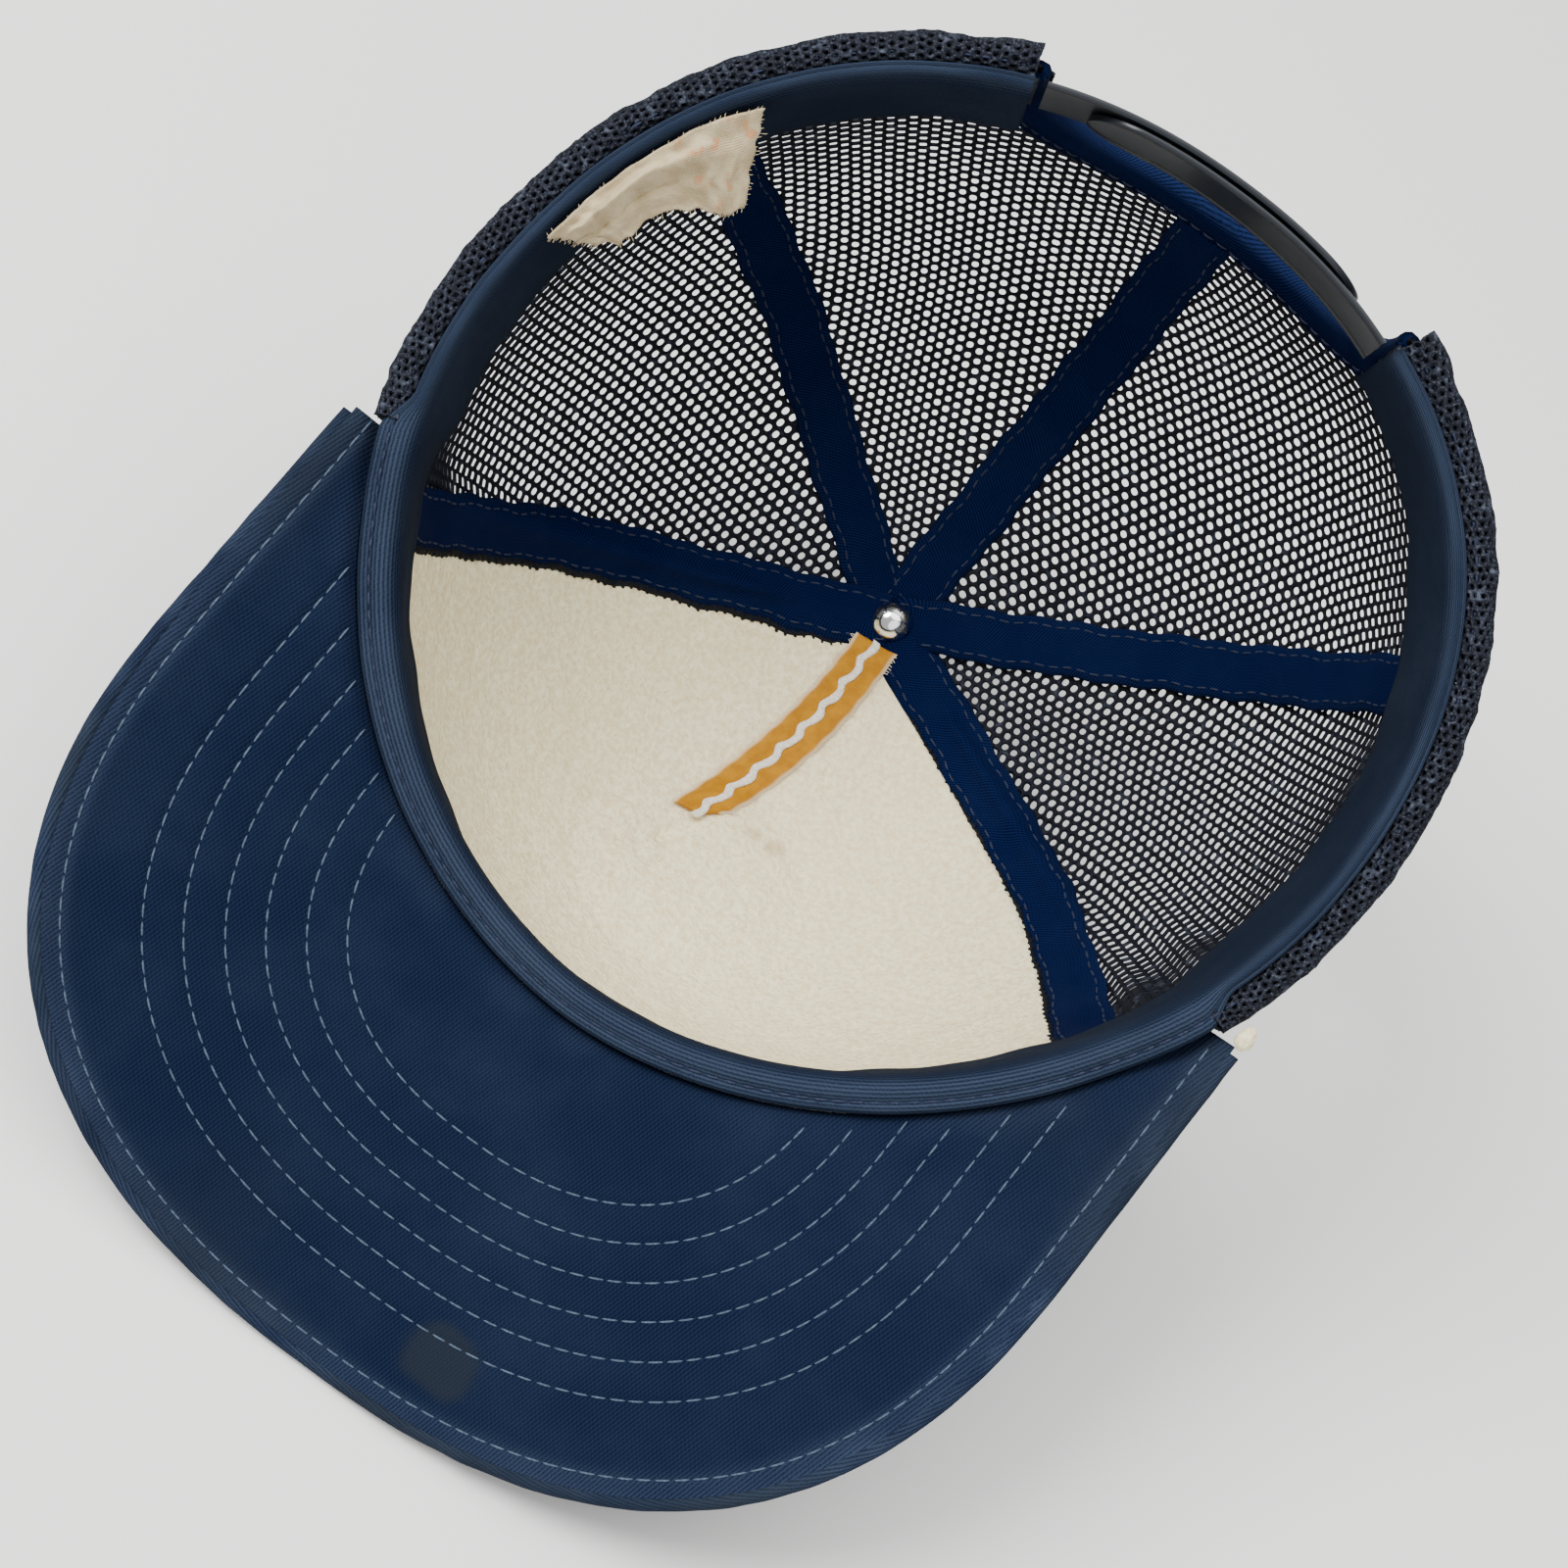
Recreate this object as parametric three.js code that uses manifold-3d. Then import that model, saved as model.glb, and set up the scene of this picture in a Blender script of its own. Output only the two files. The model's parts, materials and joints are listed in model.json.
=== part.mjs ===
// Trucker mesh cap with a foam-lined front, a stitched brim and a plastic snap strap.
//
// Every piece is modelled in the cap's own frame, in millimetres: the rim lies in the plane Z = 0 and the
// head opening faces +Z, so the crown hangs below it. -Y is the front, where the brim is, and +X is the
// wearer's right. At the end the whole cap is tipped forwards, so that it rests as a real one does when it
// is put down on its crown: on the shoulder of its front panel and on the tip of its brim.

import * as THREE from 'three';
import { mergeVertices } from 'three/addons/utils/BufferGeometryUtils.js';
import Module from 'manifold-3d';

const wasm = await Module();
wasm.setup();

// ---------------------------------------------------------------- driving dimensions (mm, degrees)

// Crown: the outline of its rim seen along the axis, and its depth.
const HALF_WIDTH = 91;
const FRONT_REACH = 95;
const BACK_REACH = 91;
const FRONT_ROUNDNESS = 1.9; // superellipse exponents, 2 is an ellipse
const BACK_ROUNDNESS = 2.15;
const CROWN_DEPTH = 112;
const FLATNESS = 2 / 3; // the walls drop steeply from the rim before they turn in
const FRONT_BOX = 1.15;
const BACK_BOX = 1.2;
const BULGE = 3; // the front and back stand out this far at half depth
const EYELET_RADIUS = 3.2; // hole at the top, where the button's rivet goes through
const SEAM_GAP = 0.4; // between neighbouring panels
const FRONT_SEAM = 59; // azimuths of the gore seams, measured from the front
const SIDE_SEAM = 117.5;
const BACK_SEAM = 180;

// Layers of the crown, as distances inwards from its outer face.
const PANEL = [0, 0.9];
const FOAM = [1.8, 4.2];
const TAPE = [1.6, 2.5];
const DART_TAPE = [5.0, 5.7];
const DART_CORD = [6.2, 7.0];
const BAND = [4.9, 6.7];
const HEM = [-2.0, -0.6];
const LABEL = [7.6, 8.2];

const TAPE_WIDTH = 12;
const DART_TAPE_WIDTH = 10;
const DART_START = 7; // its ends, as distances from the axis
const DART_END = 59;
const BAND_DEPTH = 29;
const BELLY = 0.4; // the band stands a little further in at half its depth
const BAND_LIP = 1.8; // the band's folded edge stands this high over the panels
const LABEL_DROP = 9; // the label's free edge hangs this far below the rim
const LABEL_LEAN = 8; // and stands this far in from the band
const HEM_DEPTH = 15;

// Brim
const CORNER_Y = -31; // where the brim's corners meet the crown's sides
const BRIM_HALF_WIDTH = 90.4;
const BRIM_ROUND_Y = -80.5; // its sides are straight to here, and its front edge is round beyond
const BRIM_TIP_Y = -168.4;
const BRIM_ROUNDNESS = 2.33;
const BRIM_ROOT = 1.5; // the covers start this far outside the rim, the board a little further
const BRIM_BOW = 24; // how far the brim's middle is bowed below its sides
const BRIM_SLOPE = 0.16;
const COVER = 0.6;
const BOARD = 1.6;
const LAYER_GAP = 0.35;
const BRIM_MARGIN = 1.6; // the covers reach past the board's edge, and are sewn there
const ROLL = 1.6; // how far the rolled edge stands out past the covers

// Back opening and the snap strap
const ARCH_HALF = 38;
const ARCH_HEIGHT = 40;
const ARCH_ROUNDNESS = 4; // a superellipse too, with sides that start upright
const ARCH_BINDING = 8;
const STRAP_HEIGHT = 20;
const STRAP_TOP = -1.5;
const STRAP_THICK = 1.2;
const STRAP_GAP = 0.5;
const HOLE_STRAP_INSET = 2.9; // its outer face, just inside the back opening's binding
const STRAP_PLAY = 1.2; // between a strap's swinging part and its sewn tab
const HOLE_STRAP_END = 28;
const PEG_STRAP_END = -28.5;
const PEG_PITCH = 8.4;
const PEG_COUNT = 6;
const PEG_RADIUS = 1.7;
const PEG_LENGTH = 2.3;
const HOLE_RADIUS = 2.7;
const TAB_LENGTH = 12;

// Button and rivet at the crown's top
const BUTTON_RADIUS = 8;
const BUTTON_HEIGHT = 5.2;
const RIVET_FLANGE = 4.6;
const RIVET_DOME = 3.9;
const SHANK_RADIUS = 1.8;

// How it rests
const TILT = 38.6;

// ---------------------------------------------------------------- colours

const NAVY = 0x1c2c4e;
const DARK_NAVY = 0x141d33;
const CREAM = 0xe3d9bd;
const GOLD = 0xc98a26;
const BLACK = 0x14161a;

const finish = (color, roughness, metalness = 0) =>
  new THREE.MeshStandardMaterial({ color, roughness, metalness });

// ---------------------------------------------------------------- the crown's surface

const radians = THREE.MathUtils.degToRad;
const mix = THREE.MathUtils.lerp;
const range = (count) => Array.from({ length: count }, (_, i) => i);

// The place between low and high where below() stops being true, by halving.
function halve(low, high, below) {
  for (let i = 0; i < 30; i++) {
    const mid = (low + high) / 2;
    if (below(mid)) low = mid;
    else high = mid;
  }
  return high;
}

// Distance from the axis to the rim at an azimuth: 0 is the front, positive towards the wearer's right.
function rimRadius(azimuth) {
  const s = Math.abs(Math.sin(azimuth));
  const c = Math.cos(azimuth);
  const reach = c > 0 ? FRONT_REACH : BACK_REACH;
  const n = c > 0 ? FRONT_ROUNDNESS : BACK_ROUNDNESS;
  return (Math.pow(s / HALF_WIDTH, n) + Math.pow(Math.abs(c) / reach, n)) ** (-1 / n);
}

// Height of the brim's upper sheet surface, a bowed plate that also closes the front of the rim.
function brimHeight(x, y) {
  const across = Math.min(Math.abs(x) / HALF_WIDTH, 1);
  return -BRIM_BOW * (1 - across * across) + BRIM_SLOPE * (CORNER_Y - y);
}

// Height of the rim: level round the sides and back, and arched over the brim at the front.
function rimHeight(azimuth) {
  const r = rimRadius(azimuth);
  const y = -r * Math.cos(azimuth);
  if (y > CORNER_Y) return 0;
  const ease = THREE.MathUtils.smoothstep(CORNER_Y - y, 0, 16);
  return ease * brimHeight(r * Math.sin(azimuth), y);
}

// How boxy the profile's top is: the lined front holds its shape, the mesh is a little rounder.
function boxiness(azimuth) {
  const front = 0.5 + 0.5 * Math.cos(azimuth);
  return mix(BACK_BOX, FRONT_BOX, front);
}

// A point on the crown's outer face. drop runs from 0 at the top to 1 at the rim.
function skin(azimuth, drop) {
  const turn = drop * Math.PI / 2;
  const depth = Math.max(Math.cos(turn), 0) ** FLATNESS; // 1 at the top, 0 at the rim
  const bulge = BULGE * Math.cos(azimuth) ** 2 * 4 * depth * (1 - depth);
  const r = rimRadius(azimuth) * Math.sin(turn) ** boxiness(azimuth) + bulge;
  const rim = rimHeight(azimuth);
  const z = rim - (CROWN_DEPTH + rim) * depth;
  return new THREE.Vector3(r * Math.sin(azimuth), -r * Math.cos(azimuth), z);
}

// The same point moved inwards, square to the face.
function crown(azimuth, drop, inset = 0) {
  const step = 0.004;
  const low = Math.max(drop - step, step);
  const across = skin(azimuth + step, drop).sub(skin(azimuth - step, drop));
  const down = skin(azimuth, Math.min(drop + step, 1)).sub(skin(azimuth, low));
  const square = across.cross(down).normalize();
  return settle(skin(azimuth, drop).addScaledVector(square, -inset), inset);
}

// The drop at which the outer face reaches a given height.
function dropAtHeight(azimuth, z) {
  return halve(0, 1, (drop) => skin(azimuth, drop).z < z);
}

// The drop, in the crown's top part, at which the outer face is a given distance from the axis.
function dropAtRadius(azimuth, radius) {
  return halve(0, 0.7, (drop) => skin(azimuth, drop).setZ(0).length() < radius);
}

// ---------------------------------------------------------------- the surface it rests on

// Up, in the cap's own frame, once it is tipped forwards by TILT.
const UP = new THREE.Vector3(0, Math.sin(radians(TILT)), Math.cos(radians(TILT)));
const BRIM_THICK = COVER + LAYER_GAP + BOARD + LAYER_GAP + COVER;
const FLOOR = Math.min(...rollSections().flat().map((point) => UP.dot(point)));

// Cloth that would reach below the surface lies flat on it, with its layers still in order.
function settle(point, inset) {
  const short = FLOOR + Math.max(inset, 0) - UP.dot(point);
  return short > 0 ? point.addScaledVector(UP, short) : point;
}

// ---------------------------------------------------------------- solids from grids and sections

function solid(points, triangles) {
  const geometry = new THREE.BufferGeometry();
  geometry.setAttribute('position', new THREE.Float32BufferAttribute(points.flatMap((p) => p.toArray()), 3));
  geometry.setIndex(triangles.flat());
  return outward(geometry);
}

// Turns a closed mesh's faces round if they point inwards.
function outward(geometry) {
  const position = geometry.getAttribute('position');
  const index = geometry.getIndex().array;
  const corner = (i) => new THREE.Vector3().fromBufferAttribute(position, index[i]);
  let volume = 0;
  for (let i = 0; i < index.length; i += 3) {
    volume += corner(i).dot(corner(i + 1).cross(corner(i + 2)));
  }
  if (volume > 0) return geometry;
  const flipped = [];
  for (let i = 0; i < index.length; i += 3) flipped.push(index[i], index[i + 2], index[i + 1]);
  geometry.setIndex(flipped);
  return geometry;
}

// A closed shell between two faces. face(u, v, side) gives a point, side 0 or 1, for u and v from 0 to 1.
function shell(face, columns, rows) {
  const points = [];
  const triangles = [];
  const at = (side, i, j) => side * (columns + 1) * (rows + 1) + i * (rows + 1) + j;
  for (const side of [0, 1]) {
    for (let i = 0; i <= columns; i++) {
      for (let j = 0; j <= rows; j++) points.push(face(i / columns, j / rows, side));
    }
  }
  const quad = (a, b, c, d) => triangles.push([a, b, c], [a, c, d]);
  for (let i = 0; i < columns; i++) {
    for (let j = 0; j < rows; j++) {
      quad(at(0, i, j), at(0, i + 1, j), at(0, i + 1, j + 1), at(0, i, j + 1));
      quad(at(1, i, j), at(1, i, j + 1), at(1, i + 1, j + 1), at(1, i + 1, j));
    }
    quad(at(0, i + 1, 0), at(0, i, 0), at(1, i, 0), at(1, i + 1, 0));
    quad(at(0, i, rows), at(0, i + 1, rows), at(1, i + 1, rows), at(1, i, rows));
  }
  for (let j = 0; j < rows; j++) {
    quad(at(0, 0, j), at(0, 0, j + 1), at(1, 0, j + 1), at(1, 0, j));
    quad(at(0, columns, j + 1), at(0, columns, j), at(1, columns, j), at(1, columns, j + 1));
  }
  return solid(points, triangles);
}

// A closed bar through a row of sections, each the same list of corners. outline is the section's own shape
// on paper, used to close the two ends.
function loft(sections, outline) {
  const n = outline.length;
  const triangles = [];
  for (let i = 0; i < sections.length - 1; i++) {
    for (let j = 0; j < n; j++) {
      const k = (j + 1) % n;
      const [a, b, c, d] = [i * n + j, i * n + k, (i + 1) * n + k, (i + 1) * n + j];
      triangles.push([a, b, c], [a, c, d]);
    }
  }
  // The end triangles go round the same way as the outline, whichever way that is.
  const last = (sections.length - 1) * n;
  const area = THREE.ShapeUtils.area(outline);
  for (let [a, b, c] of THREE.ShapeUtils.triangulateShape(outline, [])) {
    const turn = THREE.ShapeUtils.area([outline[a], outline[b], outline[c]]);
    if (turn * area < 0) [b, c] = [c, b];
    triangles.push([a, c, b], [last + a, last + b, last + c]);
  }
  return solid(sections.flat(), triangles);
}

// ---------------------------------------------------------------- panels, foam and tapes

// The edge of the back opening: how far below the rim it starts at an azimuth.
function archDepth(azimuth) {
  const aside = rimRadius(azimuth) * Math.abs(Math.sin(azimuth));
  const inside = Math.cos(azimuth) < 0 && aside < ARCH_HALF;
  const n = ARCH_ROUNDNESS;
  return inside ? ARCH_HEIGHT * (1 - (aside / ARCH_HALF) ** n) ** (1 / n) : 0;
}

// Azimuth on the back rim, on the wearer's right, that lies x from the middle.
function backAzimuth(x) {
  return halve(Math.PI / 2, Math.PI, (azimuth) => rimRadius(azimuth) * Math.sin(azimuth) > x);
}

// One gore between two seams, from the eyelet to the rim or to the back opening.
function gore(from, to, layer, columns, rows, spread = (u) => u) {
  return shell((u, v, side) => {
    const azimuth = mix(radians(from), radians(to), spread(u));
    const start = dropAtRadius(azimuth, EYELET_RADIUS + layer[side]);
    const end = dropAtHeight(azimuth, rimHeight(azimuth) - 0.8 - archDepth(azimuth));
    const drop = mix(start, end, v);
    const nudge = SEAM_GAP / 2 / skin(azimuth, drop).setZ(0).length();
    const aside = nudge * (1 - 2 * spread(u));
    return crown(azimuth + Math.sign(to - from) * aside, drop, layer[side]);
  }, columns, rows);
}

// Columns of a back gore crowd together beside the back opening's steep side.
const archSpread = (u) => (u < 0.45 ? u / 0.45 * 0.5 : 0.5 + 0.5 * ((u - 0.45) / 0.55) ** 1.5);

// A tape down a seam, of even width. first is where it starts from the axis, stop is the height it ends at.
function tape(azimuth, first, stop, width, layer, rows = 12) {
  const middle = radians(azimuth);
  const start = dropAtRadius(middle, first);
  const end = dropAtHeight(middle, stop);
  return shell((u, v, side) => {
    const drop = mix(start, end, v);
    const radius = skin(middle, drop).setZ(0).length();
    return crown(middle + Math.atan((u - 0.5) * width / radius), drop, layer[side]);
  }, 2, rows);
}

// The lining of the front panel, between the two front tapes.
function foam() {
  const half = radians(FRONT_SEAM);
  return shell((u, v, side) => {
    const start = dropAtRadius(0, 13 + FOAM[side]);
    const end = dropAtHeight(0, rimHeight(0) - 3);
    const drop = mix(start, end, v);
    const radius = skin(half, drop).setZ(0).length();
    const edge = half - Math.atan((TAPE_WIDTH / 2 + 0.5) / radius);
    return crown(mix(-edge, edge, u), drop, FOAM[side]);
  }, 20, 12);
}

// The wavy cord stitched down the middle of the dart's tape.
function dartCord() {
  const start = dropAtRadius(0, DART_START + 2);
  const end = dropAtRadius(0, DART_END - 2);
  return shell((u, v, side) => {
    const drop = mix(start, end, v);
    const radius = skin(0, drop).setZ(0).length();
    const wave = 0.8 * Math.sin(v * 7 * 2 * Math.PI);
    return crown(Math.atan((wave + (u - 0.5) * 1.4) / radius), drop, DART_CORD[side]);
  }, 1, 28);
}

// ---------------------------------------------------------------- sweatband, hems and label

// A bar that follows the rim between two azimuths. section lists [inset, height above the rim] corners.
function rimBar(from, to, steps, section) {
  const sections = range(steps + 1).map((i) => {
    const azimuth = mix(from, to, i / steps);
    return section.map(([inset, height]) => {
      const rim = rimHeight(azimuth);
      const drop = dropAtHeight(azimuth, rim + Math.min(height, -0.01));
      const point = crown(azimuth, drop, inset);
      return height > 0 ? point.setZ(rim + height) : point;
    });
  });
  return loft(sections, section.map(([a, b]) => new THREE.Vector2(a, b)));
}

function sweatband() {
  const end = backAzimuth(ARCH_HALF + 1);
  return rimBar(-end, end, 64, [
    [HEM[1] + 0.6, 0.3], [HEM[1] + 0.6, BAND_LIP], [BAND[1], BAND_LIP],
    [BAND[1] + BELLY, -BAND_DEPTH / 2], [BAND[1], -BAND_DEPTH],
    [BAND[0], -BAND_DEPTH], [BAND[0] + BELLY, -BAND_DEPTH / 2], [BAND[0], 0.3],
  ]);
}

function hem(side) {
  const front = cornerAzimuth() + 0.012;
  return rimBar(side * front, side * backAzimuth(ARCH_HALF + 1), 18, [
    [HEM[0], BAND_LIP - 0.4], [HEM[1], BAND_LIP - 0.4], [HEM[1], -HEM_DEPTH], [HEM[0], -HEM_DEPTH],
  ]);
}

function label() {
  const [from, to] = [radians(-98), radians(-126)];
  return rimBar(from, to, 6, [
    [LABEL[0], 1], [LABEL[1], 1], [LABEL[1] + LABEL_LEAN, -LABEL_DROP], [LABEL[0] + LABEL_LEAN, -LABEL_DROP],
  ]);
}

// ---------------------------------------------------------------- brim

// Azimuth at which the rim passes the brim's corners.
function cornerAzimuth() {
  return halve(0.5, Math.PI / 2, (azimuth) => -rimRadius(azimuth) * Math.cos(azimuth) < CORNER_Y);
}

// A point on the brim's outer edge, pulled in by margin. turn runs from -1 at the wearer's left corner to 1.
function brimEdge(turn, margin) {
  const side = Math.sign(turn);
  const straight = 0.3; // share of the turn that runs along the straight side
  const width = BRIM_HALF_WIDTH - margin;
  const along = Math.abs(turn);
  if (along > 1 - straight) {
    const t = (along - (1 - straight)) / straight;
    return [side * width, mix(BRIM_ROUND_Y, CORNER_Y, t)];
  }
  const angle = along / (1 - straight) * Math.PI / 2;
  const e = 2 / BRIM_ROUNDNESS;
  const reach = BRIM_ROUND_Y - BRIM_TIP_Y - margin;
  return [side * width * Math.sin(angle) ** e, BRIM_ROUND_Y - reach * Math.cos(angle) ** e];
}

// One sheet of the brim, between two depths under its upper surface.
function brimSheet(top, bottom, margin, columns = 30, rows = 7) {
  const corner = cornerAzimuth();
  return shell((u, v, side) => {
    const turn = 2 * u - 1;
    const azimuth = turn * corner;
    const root = rimRadius(azimuth) + BRIM_ROOT + margin / 2;
    const inner = [root * Math.sin(azimuth), -root * Math.cos(azimuth)];
    const outer = brimEdge(turn, margin);
    const x = mix(inner[0], outer[0], v);
    const y = mix(inner[1], outer[1], v);
    return new THREE.Vector3(x, y, brimHeight(x, y) - mix(top, bottom, side));
  }, columns, rows);
}

// The rolled cloth edge that closes the brim's rim: its section, as [outwards, height], and where it runs.
function rollSections() {
  const section = [[0, -0.2], [ROLL, -0.9], [ROLL, 0.9 - BRIM_THICK], [0, 0.2 - BRIM_THICK]];
  return range(61).map((i) => section.map(([out, up]) => {
    const [x, y] = brimEdge(mix(-0.985, 0.985, i / 60), -out - LAYER_GAP);
    return new THREE.Vector3(x, y, brimHeight(x, y) + up);
  }));
}

// ---------------------------------------------------------------- back opening and snap strap

// Azimuth on the back rim that lies x from the middle, on either side.
const backAzimuthAt = (x) => (x < 0 ? -backAzimuth(-x) : backAzimuth(x));

function archBinding() {
  const steps = 28;
  const e = 2 / ARCH_ROUNDNESS;
  const sections = range(steps + 1).map((i) => {
    const turn = mix(-0.97, 0.97, i / steps) * Math.PI / 2;
    const corner = (grow, inset) => {
      const x = Math.sign(turn) * (ARCH_HALF + grow) * Math.abs(Math.sin(turn)) ** e;
      const depth = (ARCH_HEIGHT + grow) * Math.cos(turn) ** e;
      const azimuth = backAzimuthAt(x);
      return crown(azimuth, dropAtHeight(azimuth, -0.8 - depth), inset);
    };
    const [near, far] = TAPE;
    return [corner(0, near), corner(ARCH_BINDING, near), corner(ARCH_BINDING, far), corner(0, far)];
  });
  return loft(sections, [[0, 0], [8, 0], [8, 1], [0, 1]].map(([a, b]) => new THREE.Vector2(a, b)));
}

// A point on a strap: x along the back, its height, and how far it lies inside the crown's outer face.
function strapPoint(x, z, inset) {
  const azimuth = backAzimuthAt(x);
  return crown(azimuth, dropAtHeight(azimuth, z), inset);
}

// A blank strap from its sewn end to its round free end, following the line of the rim.
function strapBlank(sewn, free, inset) {
  const way = Math.sign(free - sewn);
  const radius = STRAP_HEIGHT / 2;
  const stop = free - way * radius;
  const roundShare = 0.3; // share of the columns that the round end takes
  return shell((u, v, side) => {
    const turn = Math.max(u - (1 - roundShare), 0) / roundShare * Math.PI / 2 * 0.93;
    const x = turn > 0 ? stop + way * radius * Math.sin(turn) : mix(sewn, stop, u / (1 - roundShare));
    const z = STRAP_TOP - radius + (2 * v - 1) * radius * Math.cos(turn);
    return strapPoint(x, z, inset + side * STRAP_THICK);
  }, 22, 2);
}

// A round rod square to the strap at x, between two distances inside the crown's outer face.
function strapRod(x, radius, from, to) {
  const z = STRAP_TOP - STRAP_HEIGHT / 2;
  const [start, end] = [strapPoint(x, z, from), strapPoint(x, z, to)];
  const rod = new THREE.CylinderGeometry(radius, radius, start.distanceTo(end), 10);
  const across = end.clone().sub(start).normalize();
  rod.applyQuaternion(new THREE.Quaternion().setFromUnitVectors(new THREE.Vector3(0, 1, 0), across));
  const centre = start.add(end).multiplyScalar(0.5);
  return rod.translate(centre.x, centre.y, centre.z);
}

// A mesh as a solid that can be cut and joined, and back.
function manifold(geometry) {
  geometry.deleteAttribute('normal');
  geometry.deleteAttribute('uv');
  const merged = mergeVertices(geometry, 1e-4);
  return new wasm.Manifold(new wasm.Mesh({
    numProp: 3,
    vertProperties: new Float32Array(merged.getAttribute('position').array),
    triVerts: new Uint32Array(merged.getIndex().array),
  }));
}

function fromManifold(body) {
  const mesh = body.getMesh();
  const geometry = new THREE.BufferGeometry();
  geometry.setAttribute('position', new THREE.Float32BufferAttribute(mesh.vertProperties, 3));
  geometry.setIndex(Array.from(mesh.triVerts));
  return geometry;
}

const pegPlaces = range(PEG_COUNT).map((i) => (i - (PEG_COUNT - 1) / 2) * PEG_PITCH);

function holeStrap() {
  const [outer, inner] = [HOLE_STRAP_INSET, HOLE_STRAP_INSET + STRAP_THICK];
  let body = manifold(strapBlank(STRAP_PLAY - ARCH_HALF, HOLE_STRAP_END, outer));
  for (const x of pegPlaces) body = body.subtract(manifold(strapRod(x, HOLE_RADIUS, outer - 1, inner + 1)));
  return fromManifold(body);
}

function pegStrap() {
  const outer = HOLE_STRAP_INSET + STRAP_THICK + STRAP_GAP;
  let body = manifold(strapBlank(ARCH_HALF - STRAP_PLAY, PEG_STRAP_END, outer));
  for (const x of pegPlaces) {
    body = body.add(manifold(strapRod(x, PEG_RADIUS, outer - PEG_LENGTH, outer + STRAP_THICK / 2)));
  }
  return fromManifold(body);
}

// The strap's sewn end, between the panel and the sweatband.
function strapTab(side) {
  const [from, to] = [ARCH_HALF + 0.3, ARCH_HALF + TAB_LENGTH].map((x) => side * backAzimuth(x));
  const [low, high] = [STRAP_TOP - STRAP_HEIGHT + 1, STRAP_TOP - 1];
  return shell((u, v, face) => {
    const azimuth = mix(from, to, u);
    return crown(azimuth, dropAtHeight(azimuth, mix(low, high, v)), mix(2.7, 3.9, face));
  }, 3, 2);
}

// ---------------------------------------------------------------- button and rivet

function lathe(profile, segments = 24) {
  const geometry = new THREE.LatheGeometry(profile.map(([r, z]) => new THREE.Vector2(r, z)), segments);
  return geometry.rotateX(Math.PI / 2);
}

// The cloth-covered button outside: a dome with a socket for the rivet's shank.
function button() {
  const top = -CROWN_DEPTH - 0.5;
  const socket = SHANK_RADIUS + 0.3;
  const profile = [[socket, top], [BUTTON_RADIUS - 0.5, top], [BUTTON_RADIUS, top - 1.2]];
  for (const i of range(6)) {
    const angle = (i + 1) * Math.PI / 12;
    const rise = (BUTTON_HEIGHT - 1.2) * Math.sin(angle);
    profile.push([i === 5 ? 0 : BUTTON_RADIUS * Math.cos(angle), top - 1.2 - rise]);
  }
  profile.push([0, top - 3.6], [socket, top - 3.6], [socket, top]);
  return lathe(profile.reverse());
}

// The rivet inside: a domed head on a shank that reaches through the eyelet into the button.
function rivet() {
  const seat = -CROWN_DEPTH + TAPE[1] + 0.5;
  const profile = [[0, -CROWN_DEPTH - 3.7], [SHANK_RADIUS, -CROWN_DEPTH - 3.7], [SHANK_RADIUS, seat]];
  profile.push([RIVET_FLANGE, seat], [RIVET_FLANGE, seat + 0.5], [RIVET_DOME, seat + 0.7]);
  for (const i of range(5)) {
    const angle = (i + 1) * Math.PI / 10;
    profile.push([i === 4 ? 0 : RIVET_DOME * Math.cos(angle), seat + 0.7 + 2.2 * Math.sin(angle)]);
  }
  return lathe(profile);
}

// ---------------------------------------------------------------- assembly

const cap = new THREE.Group();

function add(name, geometry, material) {
  const mesh = new THREE.Mesh(geometry, material);
  mesh.name = name;
  cap.add(mesh);
}

const twill = finish(NAVY, 0.9);
const net = finish(DARK_NAVY, 0.85);
const fleece = finish(CREAM, 0.95);
const plastic = finish(BLACK, 0.35);

add('front_panel', gore(-FRONT_SEAM, FRONT_SEAM, PANEL, 20, 12), twill);
add('mesh_panel_side_right', gore(FRONT_SEAM, SIDE_SEAM, PANEL, 8, 12), net);
add('mesh_panel_side_left', gore(-FRONT_SEAM, -SIDE_SEAM, PANEL, 8, 12), net);
add('mesh_panel_back_right', gore(SIDE_SEAM, BACK_SEAM, PANEL, 12, 12, archSpread), net);
add('mesh_panel_back_left', gore(-SIDE_SEAM, -BACK_SEAM, PANEL, 12, 12, archSpread), net);
add('front_foam', foam(), fleece);

const tapeStop = -BAND_DEPTH + 6;
add('seam_tape_front_left', tape(-FRONT_SEAM, 6.5, tapeStop, TAPE_WIDTH, TAPE), twill);
add('seam_tape_front_right', tape(FRONT_SEAM, 12, tapeStop, TAPE_WIDTH, TAPE), twill);
add('seam_tape_side_left', tape(-SIDE_SEAM, 12, tapeStop, TAPE_WIDTH, TAPE), twill);
add('seam_tape_side_right', tape(SIDE_SEAM, 6.5, tapeStop, TAPE_WIDTH, TAPE), twill);
const archTop = -0.8 - ARCH_HEIGHT - ARCH_BINDING - 1;
add('seam_tape_back', tape(BACK_SEAM, 12, archTop, TAPE_WIDTH, TAPE), twill);
const dartEnd = skin(0, dropAtRadius(0, DART_END)).z;
add('dart_tape', tape(0, DART_START, dartEnd, DART_TAPE_WIDTH, DART_TAPE), finish(GOLD, 0.8));
add('dart_cord', dartCord(), finish(0xf2eee2, 0.8));

add('sweatband', sweatband(), twill);
add('hem_left', hem(-1), net);
add('hem_right', hem(1), net);
add('torn_label', label(), fleece);

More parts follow.
